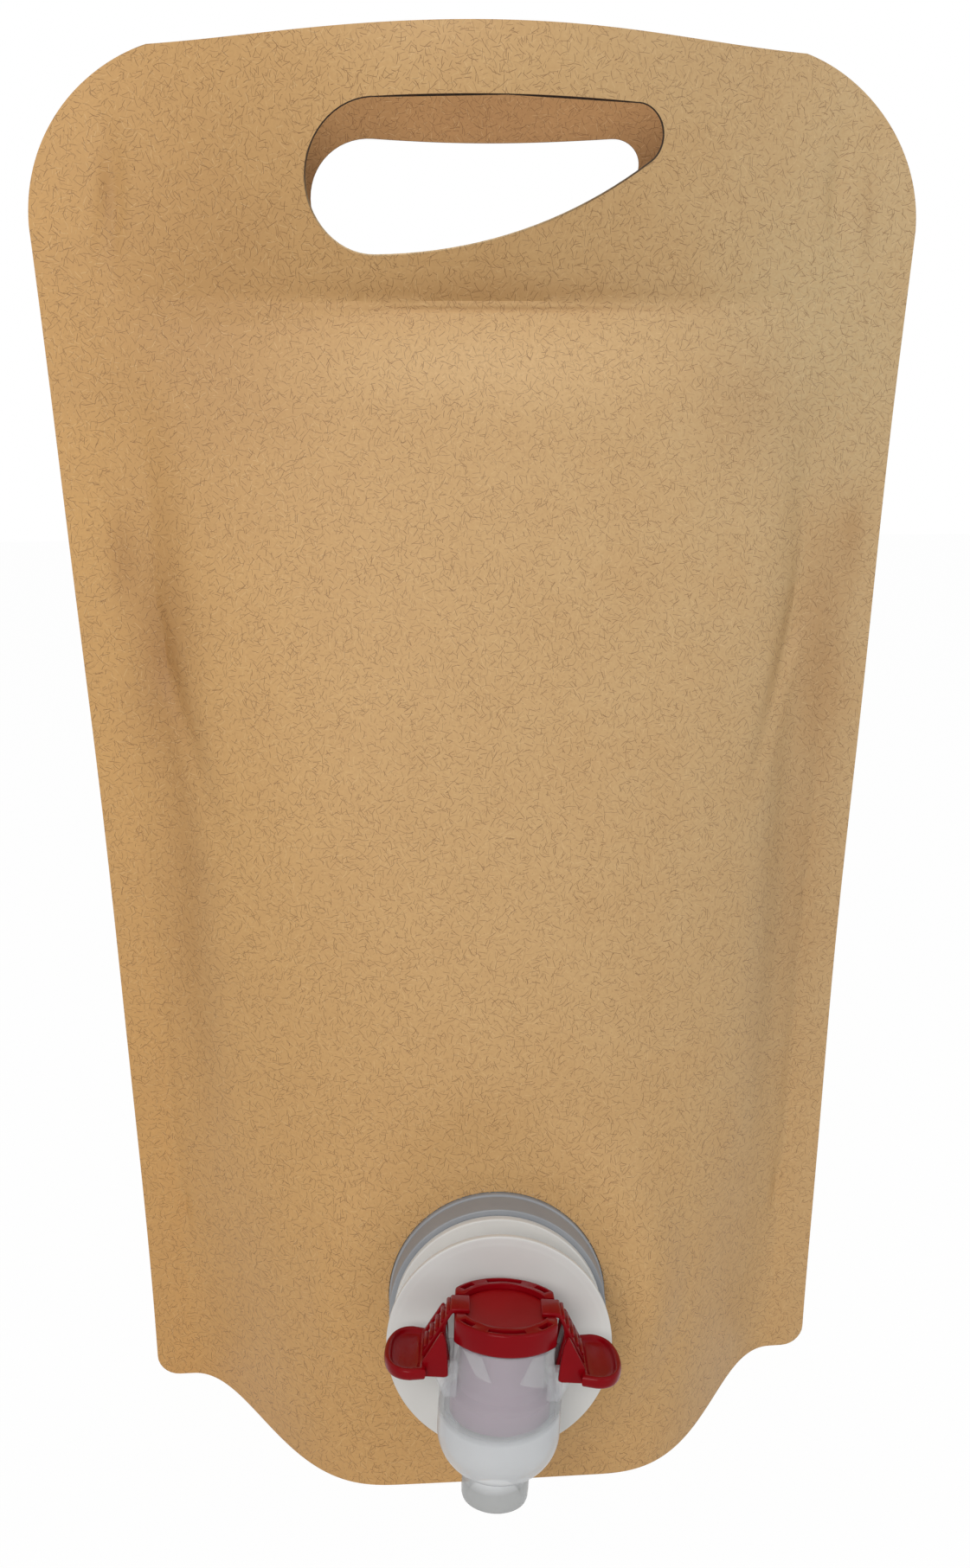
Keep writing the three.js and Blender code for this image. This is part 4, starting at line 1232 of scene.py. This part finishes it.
def buildWing(name, node, side):
    outline = [(side * x, z) for x, z in armOutline()]
    arm = extruded(outline, -tap["armHalf"], tap["armHalf"], "y", chamberCentre)
    obj = solid(name, arm, redPlastic)
    pinHole = disc(wing["pinRadius"] + tap["gap"], -wing["pinReach"], wing["pinReach"], 32, "y")
    cutter = solid("pinCutter", pinHole, redPlastic)
    pivot = (side * tap["pivotX"], -tap["forward"], tap["pivotHeight"])
    cutter.data.transform(Matrix.Translation(pivot))
    cutBy(obj, [cutter])
    rounded(obj, *wing["bevel"])
    cheek = [(side * x, z) for x, z in wing["cheek"]]
    shells = []
    for low, high in ((-wing["cheekOut"], -wing["cheekIn"]), (wing["cheekIn"], wing["cheekOut"])):
        shells.append((*extruded(cheek, low, high, "y", chamberCentre), 0))
    cheeks = formed(name + "Cheeks", shells, [redPlastic])
    rounded(cheeks, *wing["cheekBevel"])
    settled(cheeks, tapPlace, angle=35)
    settled(obj, tapPlace, angle=35)
    tray = solid(name + "Tray", trayShell(side), redPlastic)
    settled(tray, tapPlace, angle=50)
    slope = Vector((wing["armTopX"] - wing["footX"], 0, wing["tongueTop"] - wing["footHeight"]))
    foot = Vector((wing["footX"], -tap["forward"], wing["footHeight"]))
    start = foot + slope * wing["ridgeFirst"]
    end = foot + slope * wing["ridgeLast"]
    bars = fromTree(name + "Ridges", ridges, {
        "Count": wing["ridges"], "Start": (side * start.x, start.y, start.z),
        "End": (side * end.x, end.y, end.z),
        "Width": 2 * tap["armHalf"] - wing["ridgeInset"], "Radius": wing["ridgeRadius"],
    })
    rounded(bars, *wing["ridgeBevel"])
    settled(bars, tapPlace, angle=40)
    for part in (obj, tray, bars, cheeks):
        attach(part, node)
        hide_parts(node)


buildWing("leftWing", "left_wing", -1)
buildWing("rightWing", "right_wing", 1)

print("valve pieces")

for nodeName, material in (("diaphragm", sealRubber), ("valve_plug", sealRubber)):
    node = frame["nodes"][nodeName]
    node.data.materials.clear()
    node.data.materials.append(material)

print("room, light and camera")

room = {
    "floorSize": 6.0, "floorTone": colour(232, 232, 230), "floorRoughness": 0.9, "lift": 0.98,
    "ambient": 0.4, "aimHeight": 0.14,
    "key": {"at": (-0.35, -1.15, 0.85), "size": 0.6, "power": 8.5, "tone": (1.0, 0.96, 0.91)},
    "fill": {"at": (0.95, -0.8, 0.55), "size": 0.8, "power": 2.0, "tone": (0.95, 1.0, 0.98)},
    "top": {"at": (0.1, 0.35, 1.2), "size": 0.9, "power": 2.5, "tone": (1.0, 1.0, 1.0)},
}


def seenShare(tree):
    path = addNode(tree, "ShaderNodeLightPath").outputs
    seen = calculated(tree, "MAXIMUM", path["Is Camera Ray"], path["Is Glossy Ray"])
    return calculated(tree, "MAXIMUM", seen, path["Is Transmission Ray"])


def buildRoom():
    half = room["floorSize"] / 2
    mesh = bpy.data.meshes.new("floor")
    corners = [(-half, -half, 0), (half, -half, 0), (half, half, 0), (-half, half, 0)]
    mesh.from_pydata(corners, [], [(0, 1, 2, 3)])
    floor = shown("floor", mesh)
    material, tree, shader, _ = startedMaterial("paleFloor", room["floorRoughness"])
    shader.inputs["Base Color"].default_value = room["floorTone"]
    shader.inputs["Specular IOR Level"].default_value = 0.0
    white = addNode(tree, "ShaderNodeEmission", {"Color": (1, 1, 1, 1), "Strength": 1.0})
    share = times(tree, seenShare(tree), room["lift"])
    blend = addNode(tree, "ShaderNodeMixShader", {0: share, 1: shader.outputs[0], 2: white.outputs[0]})
    tree.links.new(blend.outputs[0], tree.nodes["Material Output"].inputs["Surface"])
    mesh.materials.append(material)
    world = bpy.data.worlds.new("studio")
    bpy.context.scene.world = world
    world.use_nodes = True
    sky = world.node_tree.nodes["Background"]
    strength = addNode(world.node_tree, "ShaderNodeMapRange", {
        "Value": seenShare(world.node_tree), "To Min": room["ambient"], "To Max": 1.0,
    })
    sky.inputs["Color"].default_value = (1, 1, 1, 1)
    world.node_tree.links.new(strength.outputs["Result"], sky.inputs["Strength"])


def buildLamp(name, lamp):
    light = bpy.data.lights.new(name, "AREA")
    light.shape = "RECTANGLE"
    light.size = lamp["size"]
    light.size_y = lamp["size"]
    light.energy = lamp["power"]
    light.color = lamp["tone"]
    obj = bpy.data.objects.new(name, light)
    obj.location = lamp["at"]
    aim = Vector((0, 0, room["aimHeight"])) - Vector(lamp["at"])
    obj.rotation_mode = "QUATERNION"
    obj.rotation_quaternion = aim.to_track_quat("-Z", "Y")
    bpy.context.scene.collection.objects.link(obj)


# The photo's camera: angles in degrees, its place in metres from the plane of the side seals
eye = {
    "focalPixels": 1600, "imageHeight": 1813, "yaw": 3.85, "pitch": 14.22, "roll": -0.2,
    "sensor": 36, "nearest": 0.01, "across": -0.021, "forward": 0.3195, "height": 0.239,
}


def buildCamera():
    yaw, pitch, roll = (math.radians(eye[key]) for key in ("yaw", "pitch", "roll"))
    ahead = Vector((
        math.sin(yaw) * math.cos(pitch), math.cos(yaw) * math.cos(pitch), -math.sin(pitch),
    ))
    level = Vector((math.cos(yaw), -math.sin(yaw), 0))
    upward = level.cross(ahead)
    right = level * math.cos(roll) + upward * math.sin(roll)
    up = upward * math.cos(roll) - level * math.sin(roll)
    lens = bpy.data.cameras.new("camera")
    lens.sensor_width = eye["sensor"]
    lens.lens = eye["focalPixels"] / eye["imageHeight"] * lens.sensor_width
    lens.clip_start = eye["nearest"]
    camera = bpy.data.objects.new("camera", lens)
    turn = Matrix((right, up, -ahead)).transposed().to_4x4()
    place = Matrix.Translation((eye["across"], sealY - eye["forward"], eye["height"]))
    camera.matrix_world = place @ turn
    bpy.context.scene.collection.objects.link(camera)
    bpy.context.scene.camera = camera


buildRoom()
for lampName in ("key", "fill", "top"):
    buildLamp(lampName, room[lampName])
buildCamera()
bpy.context.scene.view_settings.view_transform = "Standard"
